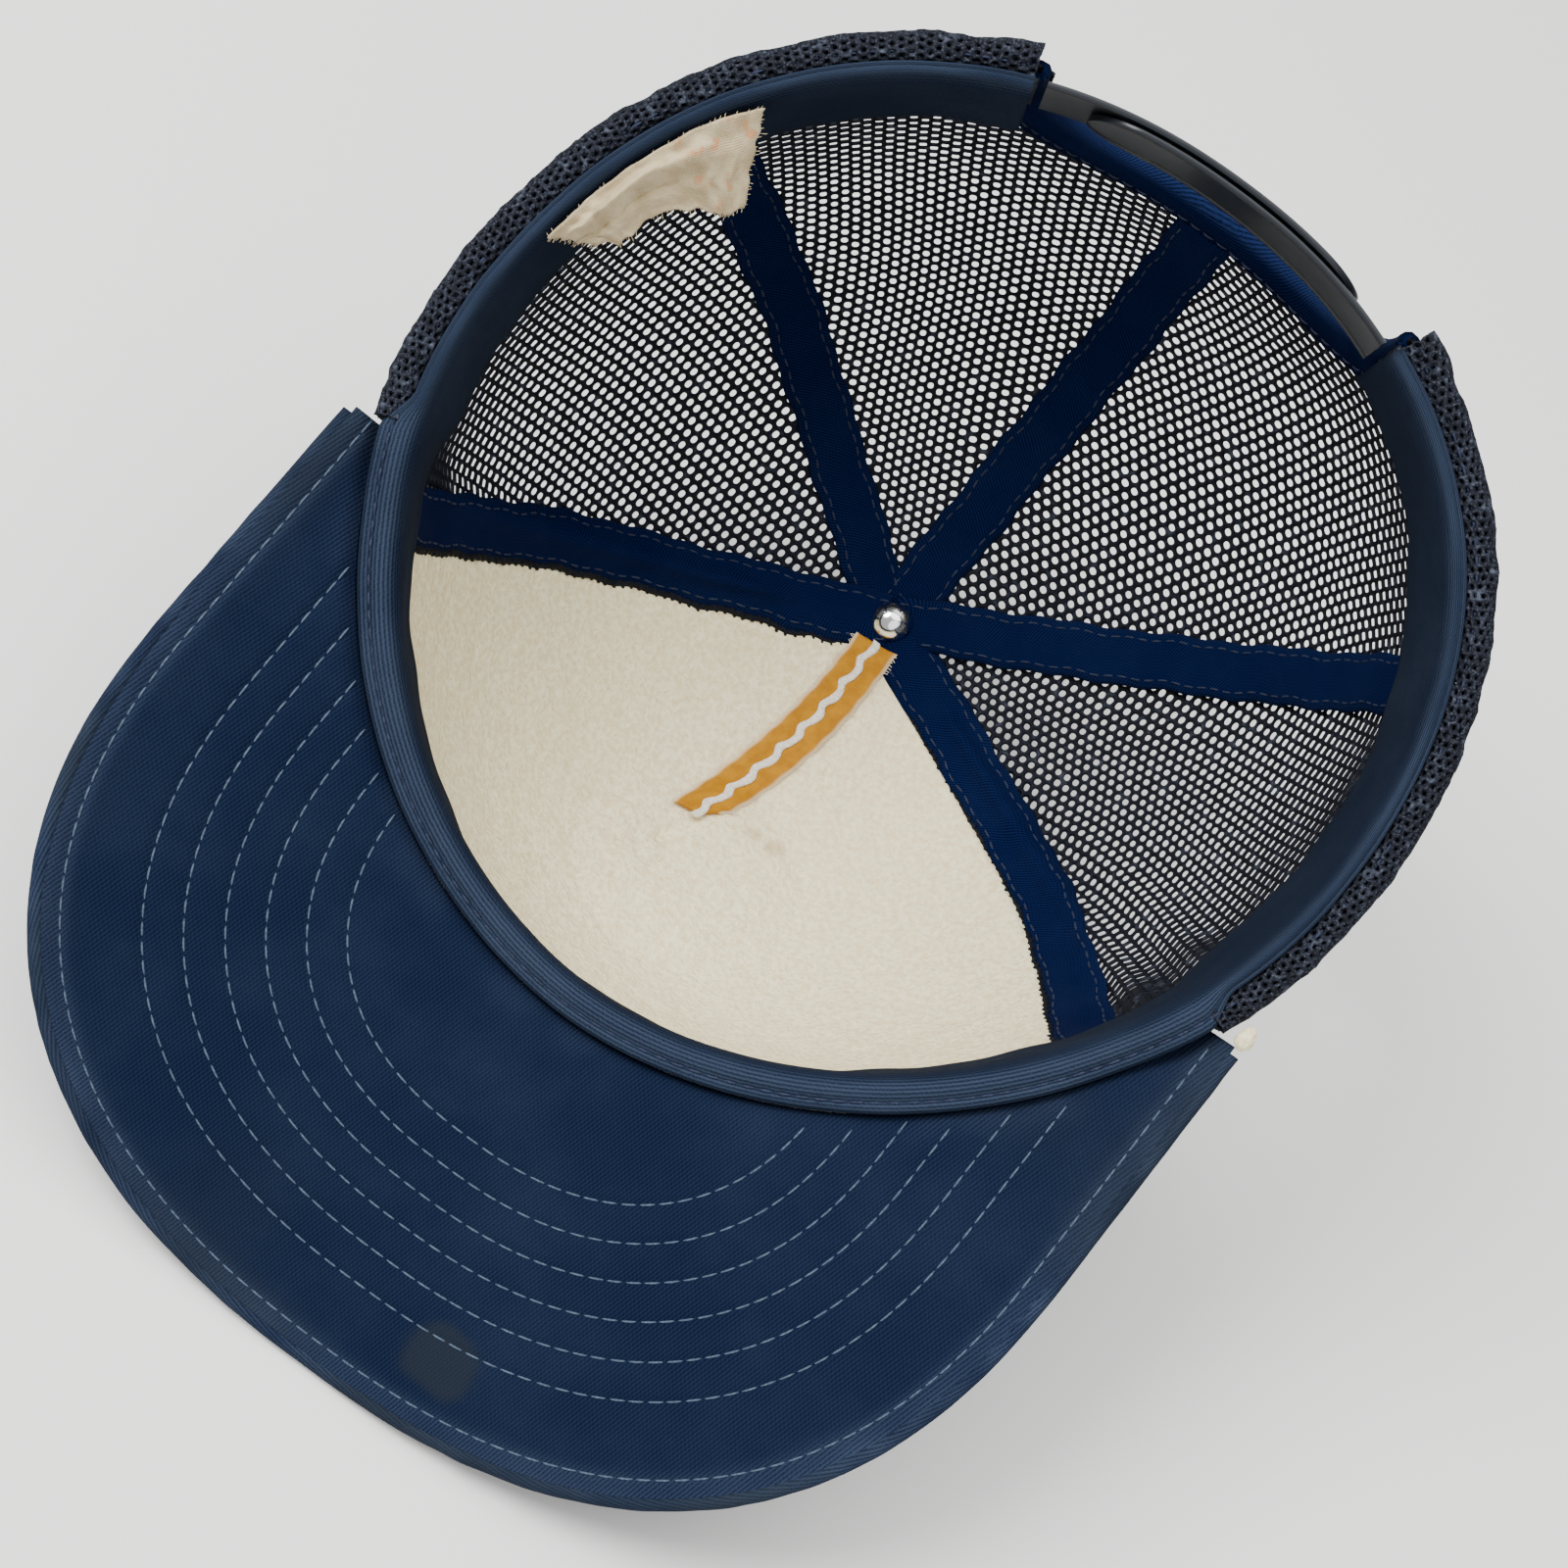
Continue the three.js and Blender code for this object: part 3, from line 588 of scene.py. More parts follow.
def plastic():
    """Black moulded plastic, satin, with faint flow lines and rubbed patches."""
    s = Shader("black_plastic")
    place = s.place()
    haze = s.noise(place, 60, 4, 0.6)
    grain = s.noise(place, 1500, 2)
    base = s.mix(haze, (0.004, 0.006, 0.009), (0.012, 0.015, 0.02))
    rough = s.node("MapRange", {"Value": haze, "To Min": 0.22, "To Max": 0.42}).outputs[0]
    return s.finish(base, rough, s.bump(grain, 0.12, 0.0001), Specular_IOR_Level=0.3)


def chrome():
    s = Shader("rivet_chrome")
    haze = s.noise(s.place(), 300, 3)
    rough = s.node("MapRange", {"Value": haze, "To Min": 0.08, "To Max": 0.2}).outputs[0]
    return s.finish((0.78, 0.78, 0.78), rough, Metallic=1.0)


def board():
    s = Shader("brim_board")
    tone = s.noise(s.place(), 400, 3)
    return s.finish(s.mix(tone, (0.5, 0.46, 0.38), (0.68, 0.63, 0.53)), 0.7)


NAVY = ((0.0016, 0.0042, 0.015), (0.0062, 0.0128, 0.036), (0.036, 0.052, 0.088))  # dark, light and worn yarn
MAT = {
    "brim": twill("brim_twill", *NAVY, turn=0.25),
    "outer": twill("outer_twill", *NAVY, turn=0.8),
    "tape": twill("tape_twill", (0.0007, 0.002, 0.0135), (0.0034, 0.0092, 0.05), (0.02, 0.034, 0.085),
                  turn=0.9, fade=0.2, shine=0.03),
    "band": twill("band_twill", (0.0022, 0.0048, 0.014), (0.0105, 0.018, 0.038), (0.05, 0.068, 0.105),
                  rib=0.75, shine=0.05),
    "mesh": knit("mesh_thread", (0.0012, 0.0017, 0.0048), (0.008, 0.0105, 0.024)),
    "hem": knit("hem_thread", (0.001, 0.0018, 0.0055), (0.009, 0.013, 0.027), flecks=0.4),
    "overlock": knit("overlock_thread", (0.001, 0.0014, 0.0035), (0.006, 0.008, 0.017), flecks=0.0),
    "fleece": fleece(),
    "gold": gold_tape(),
    "white": thread("white_thread", (0.85, 0.8, 0.72), (0.6, 0.53, 0.45)),
    "pale": thread("pale_stitch", (0.075, 0.11, 0.16), (0.035, 0.055, 0.09)),
    "navy": thread("navy_stitch", (0.02, 0.03, 0.07), (0.006, 0.01, 0.028)),
    "label": label_cloth(),
    "plastic": plastic(),
    "chrome": chrome(),
    "board": board(),
}

# ---------------------------------------------------------------- knitted mesh

COLUMN, ROW = 2.38, 2.2  # pitch of the holes across and along the fabric
HOLE = (0.78, 0.63)  # half sizes of a hole, across and along


def net(name, place, across, along, keep, material, seed, thick=0.9, hole=HOLE, pitch=(COLUMN, ROW),
        jitter=0.05, snap=None, extra=None):
    """A knitted mesh: hexagonal cells round oval holes, with threads that are round in section.

    place(t, s, inset) gives points for distances across and along the cloth. keep(t, s) says which cells
    are in the piece, and snap(t, s) moves the corners of its outer edge."""
    column, row = pitch
    half_top, half_side = 0.3933 * column, 0.6067 * column
    corner_t = np.array([half_side, half_top, -half_top, -half_side, -half_top, half_top])
    corner_s = np.array([0, 1, 1, 0, -1, -1]) * row / 2
    i = np.arange(math.floor(across[0] / column), math.ceil(across[1] / column) + 1)
    j = np.arange(math.floor(along[0] / row), math.ceil(along[1] / row) + 1)
    i, j = (a.ravel() for a in np.meshgrid(i, j, indexing="ij"))
    t0, s0 = i * column, (j + 0.5 * (i % 2)) * row
    kept = keep(t0, s0)
    t0, s0 = t0[kept], s0[kept]
    cells = len(t0)
    ct, cs = t0[:, None] + corner_t, s0[:, None] + corner_s
    key = np.stack([np.round(ct * 50).ravel(), np.round(cs * 50).ravel()], -1).astype(np.int64)
    # Corners that neighbouring cells share are one point.
    code = key[:, 0] * 1000003 + key[:, 1]
    order, first, corner = np.unique(code, return_index=True, return_inverse=True)
    corner = corner.reshape(cells, 6)
    t, s = ct.ravel()[first], cs.ravel()[first]
    edges = np.stack([corner, np.roll(corner, -1, 1)], -1).reshape(-1, 2)
    n = len(order)
    known = set((edges[:, 0] * n + edges[:, 1]).tolist())
    border = np.array([b * n + a not in known for a, b in edges.tolist()])
    rng = np.random.default_rng(seed)
    t = t + rng.uniform(-jitter, jitter, n)
    s = s + rng.uniform(-jitter, jitter, n)
    if snap is not None:
        outer = np.unique(edges[border])
        t[outer], s[outer] = snap(t[outer], s[outer])
    angle = np.arange(12) * math.pi / 6
    c, sn = np.cos(angle), np.sin(angle)
    size = 1 + rng.uniform(-0.07, 0.07, (cells, 1))
    round_t = np.sign(c) * np.abs(c) ** 0.86 * hole[0]
    round_s = np.sign(sn) * np.abs(sn) ** 0.86 * hole[1]
    ring_t = t0[:, None] + round_t * size + rng.uniform(-jitter, jitter, (cells, 1))
    ring_s = s0[:, None] + round_s * size + rng.uniform(-jitter, jitter, (cells, 1))
    points = np.concatenate([
        place(t, s, np.zeros(n)), place(t, s, np.full(n, thick)),
        place(ring_t.ravel(), ring_s.ravel(), np.full(cells * 12, thick / 2))])
    ring = 2 * n + np.arange(cells * 12).reshape(cells, 12)
    faces = []
    for k in range(6):
        a, b = corner[:, k], corner[:, (k + 1) % 6]
        near, mid, far = ring[:, 2 * k], ring[:, 2 * k + 1], ring[:, (2 * k + 2) % 12]
        for low, flip in ((0, False), (n, True)):
            for tri in ((a + low, mid, near), (a + low, b + low, mid), (b + low, far, mid)):
                tri = np.stack(tri, -1)
                faces.append(tri[:, ::-1] if flip else tri)
    faces = np.concatenate(faces).tolist()
    for a, b in edges[border].tolist():
        faces.append([b, a, a + n, b + n])
    extra = {k: f(points) for k, f in (extra or {}).items()}
    return make(name, points, faces, material, extra=extra)


class Meridian:
    """Distances down the middle of a gore, and where a point of its flat cloth comes to lie."""

    def __init__(self, centre):
        self.centre = centre
        self.drop = np.linspace(0, 1, 600)
        p = skin(centre, self.drop)
        self.radius = np.hypot(p[:, 0], p[:, 1])
        self.length = distances(p)
        self.level = np.clip(np.gradient(self.radius, self.length), 0, 1)

    def angles(self, t, s):
        """Azimuth and drop of cloth that is t beside the middle line and s down it."""
        r = np.interp(s, self.length, self.radius)
        level = np.interp(s, self.length, self.level)
        s = s + (np.hypot(r, t) - r) * level
        aside = level * np.arctan2(t, r) + (1 - level) * t / np.maximum(r, 1)
        return self.centre + aside, np.interp(s, self.length, self.drop)


def arch_depth(az):
    aside = rim_radius(az) * np.abs(np.sin(az))
    inside = (np.cos(az) < 0) & (aside < ARCH_HALF)
    depth = ARCH_HEIGHT * np.clip(1 - (aside / ARCH_HALF) ** ARCH_ROUND, 0, 1) ** (1 / ARCH_ROUND)
    return np.where(inside, depth, 0)


def mesh_panel(name, seam_a, seam_b, seed):
    centre, half = math.radians((seam_a + seam_b) / 2), math.radians(abs(seam_b - seam_a) / 2)
    middle = Meridian(centre)

    def warp(t, s):
        wave = 0.5 * np.sin(s / 23 + seed) + 0.3 * np.sin(s / 9.1 + 2 * seed)
        return t + wave * np.sin(t / 19 + seed), s + 0.5 * np.sin(t / 17 + seed)

    def angles(t, s):
        return middle.angles(*warp(t, s))

    def place(t, s, inset):
        az, drop = angles(t, s)
        limit = half - 0.25 / np.maximum(axis_distance(az, drop), 2)
        return crown(centre + np.clip(az - centre, -limit, limit), np.minimum(drop, 0.994), inset)

    def keep(t, s):
        az, drop = angles(t, s)
        radius = axis_distance(az, drop)
        inside = np.abs(az - centre) * radius < half * radius - 0.5
        inside = inside & (radius > 5) & (s < middle.length[-1])
        return inside & (skin(az, drop)[:, 2] < -1.5 - arch_depth(az))

    def snap(t, s):
        az, drop = angles(t, s)
        aside = az - centre
        near = (half - np.abs(aside)) * axis_distance(az, drop) < 1.6
        return np.where(near, t + np.sign(aside) * 1.7, t), s

    reach = middle.length[-1]
    piece = net(name, place, (-62, 62), (4, reach), keep, MAT["mesh"], seed, snap=snap)
    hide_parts(name.replace("net_", "mesh_panel_"))


mesh_panel("net_side_right", FRONT_SEAM, SIDE_SEAM, 11)
mesh_panel("net_side_left", -SIDE_SEAM, -FRONT_SEAM, 12)
mesh_panel("net_back_right", SIDE_SEAM, BACK_SEAM, 13)
mesh_panel("net_back_left", -BACK_SEAM, -SIDE_SEAM, 14)

# ---------------------------------------------------------------- front panel and its foam lining


def rows_down(edge, top_radius, bottom_height, columns, rows):
    """Azimuths and drops of a grid on the front, whose side edges lie at the azimuths -edge and edge."""
    v = np.linspace(0, 1, rows)[None, :]
    u = np.linspace(-1, 1, columns)[:, None]
    start = drop_at_radius(0.0, top_radius)
    end = drop_at_height(0.0, rim_height(0.0) + bottom_height)
    drop = start + (end - start) * v
    az = edge(drop) * u
    return az, np.broadcast_to(drop, az.shape)


def on_crown(x, y, inset):
    """The crown's point above (x, y), moved inwards."""
    az = np.arctan2(x, -y)
    return crown(az, drop_at_radius(az, np.hypot(x, y)), inset)


DENT = (-8.5, -65.0)  # middle of the torn dent in the foam
STAIN = (9.0, -54.0)  # middle of the brown mark on it


def front_panel():
    """The twill outside of the front, with the shallow line that the dart pulls into it."""
    half = math.radians(FRONT_SEAM)

    def edge(drop):
        return half - 0.25 / np.maximum(axis_distance(half, drop), 1)

    az, drop = rows_down(edge, 3.4, -0.8, 150, 110)
    p = skin(az, drop)
    dart = np.exp(-(p[..., 0] / 1.3) ** 2) * smooth((60 + p[..., 1]) / 12)
    top = crown(az, drop, 1.0)
    bottom = crown(az, drop, 0.8 * dart)
    cloth = xyz(az * RIM_TURN, drop * GORE_LENGTH)
    seam = np.exp(-((half - np.abs(az)) * 80 / 2.2) ** 2)
    wear = 0.35 * seam + 0.3 * dart
    piece = slab("front_cover", top, bottom, MAT["outer"], cloth=cloth, extra={"wear": wear})
    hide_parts("front_panel")


def foam_lining():
    """The front's foam lining: lumpy, dented where it has torn, and stained."""
    half = math.radians(FRONT_SEAM)

    def edge(drop):
        radius = np.maximum(axis_distance(half, drop), 5.6)
        return np.maximum(half - np.arcsin(np.clip(5.6 / radius, 0, 1)), 0.02)

    az, drop = rows_down(edge, 6.9, -3.0, 220, 150)
    p = skin(az, drop)
    x, y = p[..., 0], p[..., 1]
    lumps = 0.26 * lattice(p, 1.8, 21) + 0.18 * lattice(p, 3.6, 22) + 0.4 * lattice(p, 17, 23)
    off = np.hypot((x - DENT[0]) / 4.5, (y - DENT[1]) / 6.5)
    torn = np.exp(-off ** 2) * (1.5 + 1.1 * lattice(p, 2.6, 24))
    torn = torn + 1.1 * np.exp(-((off - 1.05) / 0.12) ** 2) * smooth(0.6 + lattice(p, 6, 27))
    rim_u = np.abs(az) / np.maximum(edge(drop), 1e-3)
    thin = smooth((rim_u - 0.985) / 0.015) * 1.2
    top = crown(az, drop, 4.0 + lumps - torn - thin)
    bottom = crown(az, drop, 1.7)
    mark = np.exp(-((x - STAIN[0]) / 4.0) ** 2 - ((y - STAIN[1] - 0.15 * (x - STAIN[0])) / 1.5) ** 2)
    mark = mark * smooth(0.8 + lattice(p, 2.2, 25))
    mark = mark + 0.35 * np.exp(-(off / 0.9) ** 2) * smooth(lattice(p, 2.0, 26))
    cloth = xyz(az * RIM_TURN, drop * GORE_LENGTH)
    piece = slab("foam_lining", top, bottom, MAT["fleece"], cloth=cloth, extra={"soil": np.clip(mark, 0, 1)})
    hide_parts("front_foam")


front_panel()
foam_lining()

# ---------------------------------------------------------------- seam tapes

TAPE_LINES = Bundle()
OUTER_LINES = Bundle()
OVERLOCK = Bundle()


def tape(name, azimuth, first, stop, level, swell, seed, foam_side=0):
    """A twill tape down a seam, sewn along both edges, from the distance first from the axis to the height
    stop. foam_side is the side that lies on the lining."""
    middle = math.radians(azimuth)
    start, end = drop_at_radius(middle, first), drop_at_height(middle, stop)
    v = np.linspace(start, end, 90)[None, :]
    u = np.linspace(-1, 1, 15)[:, None]
    radius = np.maximum(axis_distance(middle, v), 0.5)
    wave = 0.25 * np.sin(v * 90 + seed) + 0.2 * np.sin(v * 37 + 2 * seed)
    az = middle + np.arctan((u * TAPE_WIDTH / 2 + wave) / radius)
    drop = np.broadcast_to(v, az.shape)
    # Near the axis the tape runs straight on, so its points come from x and y there.
    along = np.hypot(radius, u * TAPE_WIDTH / 2)
    flat_drop = drop_at_radius(az, np.minimum(along, 60))
    near = 1 - smooth((radius - 22) / 30)
    drop = drop * (1 - near) + flat_drop * near
    p = skin(az, drop)
    pucker = 0.16 * lattice(p, 4.5, 31 + seed) + 0.1 * lattice(p, 2.2, 32 + seed)
    round_edge = -0.55 * np.abs(u) ** 8
    rise = swell * (1 - u ** 4) + (1.3 if foam_side else 0) * smooth((u * foam_side + 1) / 1.2)
    top = crown(az, drop, level + rise + pucker + round_edge)
    bottom = crown(az, drop, level + rise - 0.85 + 0.1 * pucker)
    cloth = xyz(u * TAPE_WIDTH / 2, drop * GORE_LENGTH)
    faded = 0.22 * np.exp(-((1 - np.abs(u)) * 6 / 0.8) ** 2) + 0 * v
    piece = slab(name, top, bottom, MAT["tape"], cloth=cloth, extra={"wear": faded})
    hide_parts(name.replace("twill_", "seam_"))
    long = float(np.linalg.norm(np.diff(top[7], axis=0), axis=-1).sum())
    for column in (2, 12):
        stitches(TAPE_LINES, top[column], 2.9, 2.2, 0.2, normal=inward(top, column), seed=seed + column)
    keep = radius[0] > 11
    for side in (-3.4, 3.4):
        line_az = (middle + np.arctan(side / radius[0]))[keep]
        line = crown(line_az, v[0][keep], -0.05)
        normal = outward_normal(line_az, v[0][keep])
        stitches(OUTER_LINES, line, 3.0, 2.3, 0.24, lift=0.05, normal=normal, seed=seed + 7)
    if foam_side:
        column = 14 if foam_side > 0 else 0
        overlock(top[column][8:], inward(top, column)[8:], seed)


def inward(grid, column):
    """Normals of a grid of points at one column, pointing to the crown's inside."""
    a = grid[min(column + 1, len(grid) - 1)] - grid[max(column - 1, 0)]
    b = np.gradient(grid[column], axis=0)
    n = unit(np.cross(a, b))
    inside = np.array([0, 0, -40.0]) - grid[column]
    sign = np.sign((n * inside).sum(-1, keepdims=True))
    return n * np.where(sign == 0, 1, sign)


def overlock(edge, normals, seed):
    """A thick, uneven overlocked edge: loops of thread wound over the tape's edge."""
    rng = np.random.default_rng(seed + 90)
    along = distances(edge)
    s = np.arange(0, along[-1], 0.45)
    base = np.stack([np.interp(s, along, edge[:, k]) for k in range(3)], -1)
    up = np.stack([np.interp(s, along, normals[:, k]) for k in range(3)], -1)
    across, up = frames_along(base, up)
    turn = s * 2 * math.pi / 1.9
    wobble = 0.5 * np.sin(s / 3.1 + seed) + 0.35 * np.sin(s / 1.3)
    out = (0.75 * np.cos(turn) + 0.35 * wobble)[:, None] * across
    high = (0.15 + 0.5 * np.sin(turn))[:, None] * up
    path = base + out + high + rng.normal(0, 0.07, base.shape)
    OVERLOCK.tube(path, 0.42, normal=up)
    OVERLOCK.tube(base + 0.25 * wobble[:, None] * across - 0.1 * up, 0.75, normal=up)


ARCH_STOP = -0.8 - ARCH_HEIGHT - 7  # height where the back tape meets the opening's binding
BAND_STOP = -22  # height where the others are hidden by the sweatband
tape("twill_tape_back", BACK_SEAM, 3.0, ARCH_STOP, 2.0, 0.35, seed=1)
tape("twill_tape_side_left", -SIDE_SEAM, 3.0, BAND_STOP, 2.0, 0.35, seed=2)
tape("twill_tape_front_right", FRONT_SEAM, 3.0, BAND_STOP, 2.2, 0.6, foam_side=-1, seed=3)
tape("twill_tape_front_left", -FRONT_SEAM, 0.3, BAND_STOP, 3.1, 0.6, foam_side=1, seed=4)
tape("twill_tape_side_right", SIDE_SEAM, 0.3, BAND_STOP, 3.1, 0.4, seed=5)

# ---------------------------------------------------------------- the dart's tape and its wavy cord


DART_TOP_Y, DART_END_Y = -6.0, -58.5


def dart_curve(s):
    """How far the dart's tape swings aside at the share s down it."""
    return -7.2 * s ** 1.3 + 2.2 * np.sin(math.pi * s)


def dart_strip():
    """The gold tape, with frayed threads along both edges."""
    s = np.linspace(0, 1, 80)[None, :]
    y = DART_TOP_Y + (DART_END_Y - DART_TOP_Y) * s
    x_mid = 0.6 + dart_curve(s)
    width = 9.6 + 1.0 * np.sin(math.pi * s)
    u = np.linspace(-1, 1, 13)[:, None]
    x = x_mid + u * width / 2 + 0.12 * np.sin(s * 60 + u * 3)
    y = y + 0.09 * u * width / 2 + 2.6 * smooth((u - 0.2) / 0.8) * smooth((s - 0.9) / 0.1)
    top = on_crown(x, y, 5.2 + 0.15 * np.sin(s * 31) - 0.35 * np.abs(u) ** 6)
    bottom = on_crown(x, y, 4.3)
    fray = np.exp(-((1 - np.abs(u)) * 4.3 / 0.35) ** 2) + 0 * s
    cloth = xyz(u * width / 2, 50 * s)
    strip = slab("gold_strip", top, bottom, MAT["gold"], cloth=cloth, extra={"wear": fray})
    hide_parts("dart_tape")
    rng = np.random.default_rng(5)
    threads = Bundle()
    for side in (0, 12):
        for k in range(1, 79):
            root = top[side, k]
            out, down = unit(root - top[6, k]), unit(top[side, k + 1] - root)
            tip = root + out * rng.uniform(0.3, 1.0) + down * rng.uniform(-0.6, 0.6) + np.array([0, 0, 0.15])
            threads.tube([root - out * 0.4, (root + tip) / 2 + np.array([0, 0, 0.18]), tip], 0.09, 4)
    fringe = threads.done("gold_strip_fray", MAT["white"])


def wavy_cord():
    """A flat white ribbon that snakes down the middle of the gold tape."""
    t = np.linspace(0, 1, 170)[None, :]
    line_y = DART_TOP_Y + 0.4 + (DART_END_Y - DART_TOP_Y - 1.6) * t
    wave = 0.5 * np.sin(t * 2 * math.pi * 8.5) + 0.1 * np.sin(t * 2 * math.pi * 17 + 1)
    line_x = 0.4 + dart_curve(0.975 * t) + wave
    w = np.linspace(-1, 1, 7)[:, None]
    half = 0.95 + 0.08 * np.sin(t * 71)
    x = line_x + w * half
    top = on_crown(x, line_y, 5.75 - 0.35 * w ** 4 + 0.08 * np.sin(t * 150))
    bottom = on_crown(x, line_y, 5.1)
    cord = slab("wavy_cord", top, bottom, MAT["white"], cloth=xyz(w * half, 50 * t))
    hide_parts("dart_cord")


dart_strip()
wavy_cord()

# ---------------------------------------------------------------- sweatband, hems and label


def rim_point(az, inset, height, lift=False):
    """A point beside the rim: height above it, inset inwards from the crown's outer face. With lift, the
    height is kept even where the face slopes."""
    az, inset, height = np.broadcast_arrays(az, inset, height)
    rim = rim_height(az)
    drop = drop_at_height(az, rim + np.minimum(height, -0.01))
    p = crown(az, drop, inset, soft=False)
    p[..., 2] = np.where(lift | (height > 0), rim + height, p[..., 2])
    return p


def bar(name, points, material, cloth, extra):
    """A closed bar from sections shaped (places, corners, 3), with its two ends capped."""
    faces = tube_faces(*points.shape[:2], flip=True)
    extra = {k: np.ravel(v) for k, v in extra.items()}
    return make(name, points.reshape(-1, 3), faces, material, cloth=cloth.reshape(-1, 3), extra=extra)


BAND_END = float(back_azimuth(ARCH_HALF + 1))
# The band's section as (inset, height): over the rim's fold, down the face, and back up behind it.
BAND_SECTION = np.array([
    (-0.1, -1.0), (-0.2, 0.4), (0.1, 1.3), (0.8, 1.8), (1.5, 1.75), (1.95, 1.3), (2.4, 1.75), (3.2, 2.1),
    (4.2, 2.1), (5.2, 1.7), (6.0, 0.9), (6.6, -0.6), (6.9, -3), (7.1, -7), (7.25, -11), (7.3, -15),
    (7.25, -19), (7.1, -23), (6.9, -26.5), (6.85, -28.6), (6.5, -29.3), (6.1, -28.6), (6.2, -22),
    (6.3, -14), (6.1, -6), (5.6, -2), (4.2, -0.8), (2.0, -0.7)])
CORNER_AZ = math.atan2(HALF_WIDTH * 0.93, -CORNER_Y)


def sweatband():
    """The folded twill band round the inside of the rim, with its row of stitches."""
    az = np.linspace(-BAND_END, BAND_END, 420)[:, None]
    inset, height = BAND_SECTION[None, :, 0], BAND_SECTION[None, :, 1]
    loose = smooth((-height - 2) / 20)
    wave = 0.55 * np.sin(az * 9 + 1) + 0.35 * np.sin(az * 23) + 0.2 * np.sin(az * 41 + 2)
    face = smooth((inset - 5) / 1.5)
    pucker = 0.1 * np.sin(az * 190) * np.exp(-((inset - 2.0) / 1.6) ** 2) * (height > 0)
    # Behind the brim's corners the folded edge is a thinner piping beside the hem.
    side = smooth((np.abs(az) - CORNER_AZ) / 0.08)
    inset = inset + side * 3.7 * (1 - np.clip((inset + 0.2) / 6.4, 0, 1))
    inset = inset + loose * wave * face * 0.5 - 1.6 * (1 - side) * face * smooth((-height - 4) / 22)
    height = height + 0.3 * wave * (height > 0) + pucker + side * 0.5 * (height > 0)
    points = rim_point(az, inset, height)
    cloth = xyz(distances(BAND_SECTION), az * RIM_TURN)
    ridge = np.exp(-((height - 2.0) / 0.8) ** 2) * 0.55
    damp = 0.25 * smooth((-height - 20) / 8) * face
    piece = bar("sweatband_twill", points, MAT["band"], cloth, extra={"wear": ridge, "soil": damp})
    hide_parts("sweatband")
    rows = Bundle()
    line_az = np.linspace(-BAND_END + 0.01, BAND_END - 0.01, 800)
    stitches(rows, rim_point(line_az, 1.95, 1.55), 3.1, 2.3, 0.25, seed=3)
    row = rows.done("band_stitches", MAT["navy"])


def hem(name, side, node):
    """The mesh turned over on itself at the rim: two layers and a round fold, coarse and lumpy."""
    lo, hi = sorted((side * (CORNER_AZ + 0.02), side * BAND_END))
    outer, inner, fold = -1.3, 3.5, 1.9
    turn = (inner - outer) / 2
    bend = turn * math.pi
    straight = 14.0
    total = straight + bend + 2.5

    def section(s):
        """Inset and height after a distance s along the folded cloth."""
        angle = np.clip((s - straight) / turn, 0, math.pi)
        inset = (outer + inner) / 2 - turn * np.cos(angle)
        past = turn * np.sin(angle) - np.maximum(s - straight - bend, 0)
        return inset, np.where(s < straight, s - straight, past) + fold - turn

    def place(t, s, depth):
        az = t / RIM_TURN
        inset, height = section(s)
        ahead_i, ahead_h = section(s + 0.05)
        di, dh = ahead_i - inset, ahead_h - height
        size = np.hypot(di, dh) + 1e-9
        thick_end = 0.9 * np.exp(-((np.abs(az) - BAND_END) / 0.09) ** 2)
        lump = 0.4 * lattice(xyz(t, s), 4.0, 41 + side) + 0.2 * lattice(xyz(t, s), 1.9, 43 + side)
        push = depth - 0.6 + lump - thick_end * (inset < (outer + inner) / 2)
        return rim_point(az, inset + push * dh / size, height - push * di / size - 0.2 * np.sin(az * 31))

    def keep(t, s):
        return (t / RIM_TURN > lo) & (t / RIM_TURN < hi) & (s > 0) & (s < total)

    def wear(points):
        return 0.35 * smooth(points[:, 2] + 1.0)

    across = (lo * RIM_TURN, hi * RIM_TURN)
    piece = net(name, place, across, (0, total), keep, MAT["hem"], 50 + side, thick=1.2,
                hole=(0.3, 0.24), pitch=(1.55, 1.4), jitter=0.16, extra={"wear": wear})
    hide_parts(node)


sweatband()
hem("hem_knit_left", -1, "hem_left")
hem("hem_knit_right", 1, "hem_right")


LABEL_LONG, LABEL_WIDE = 44, 20


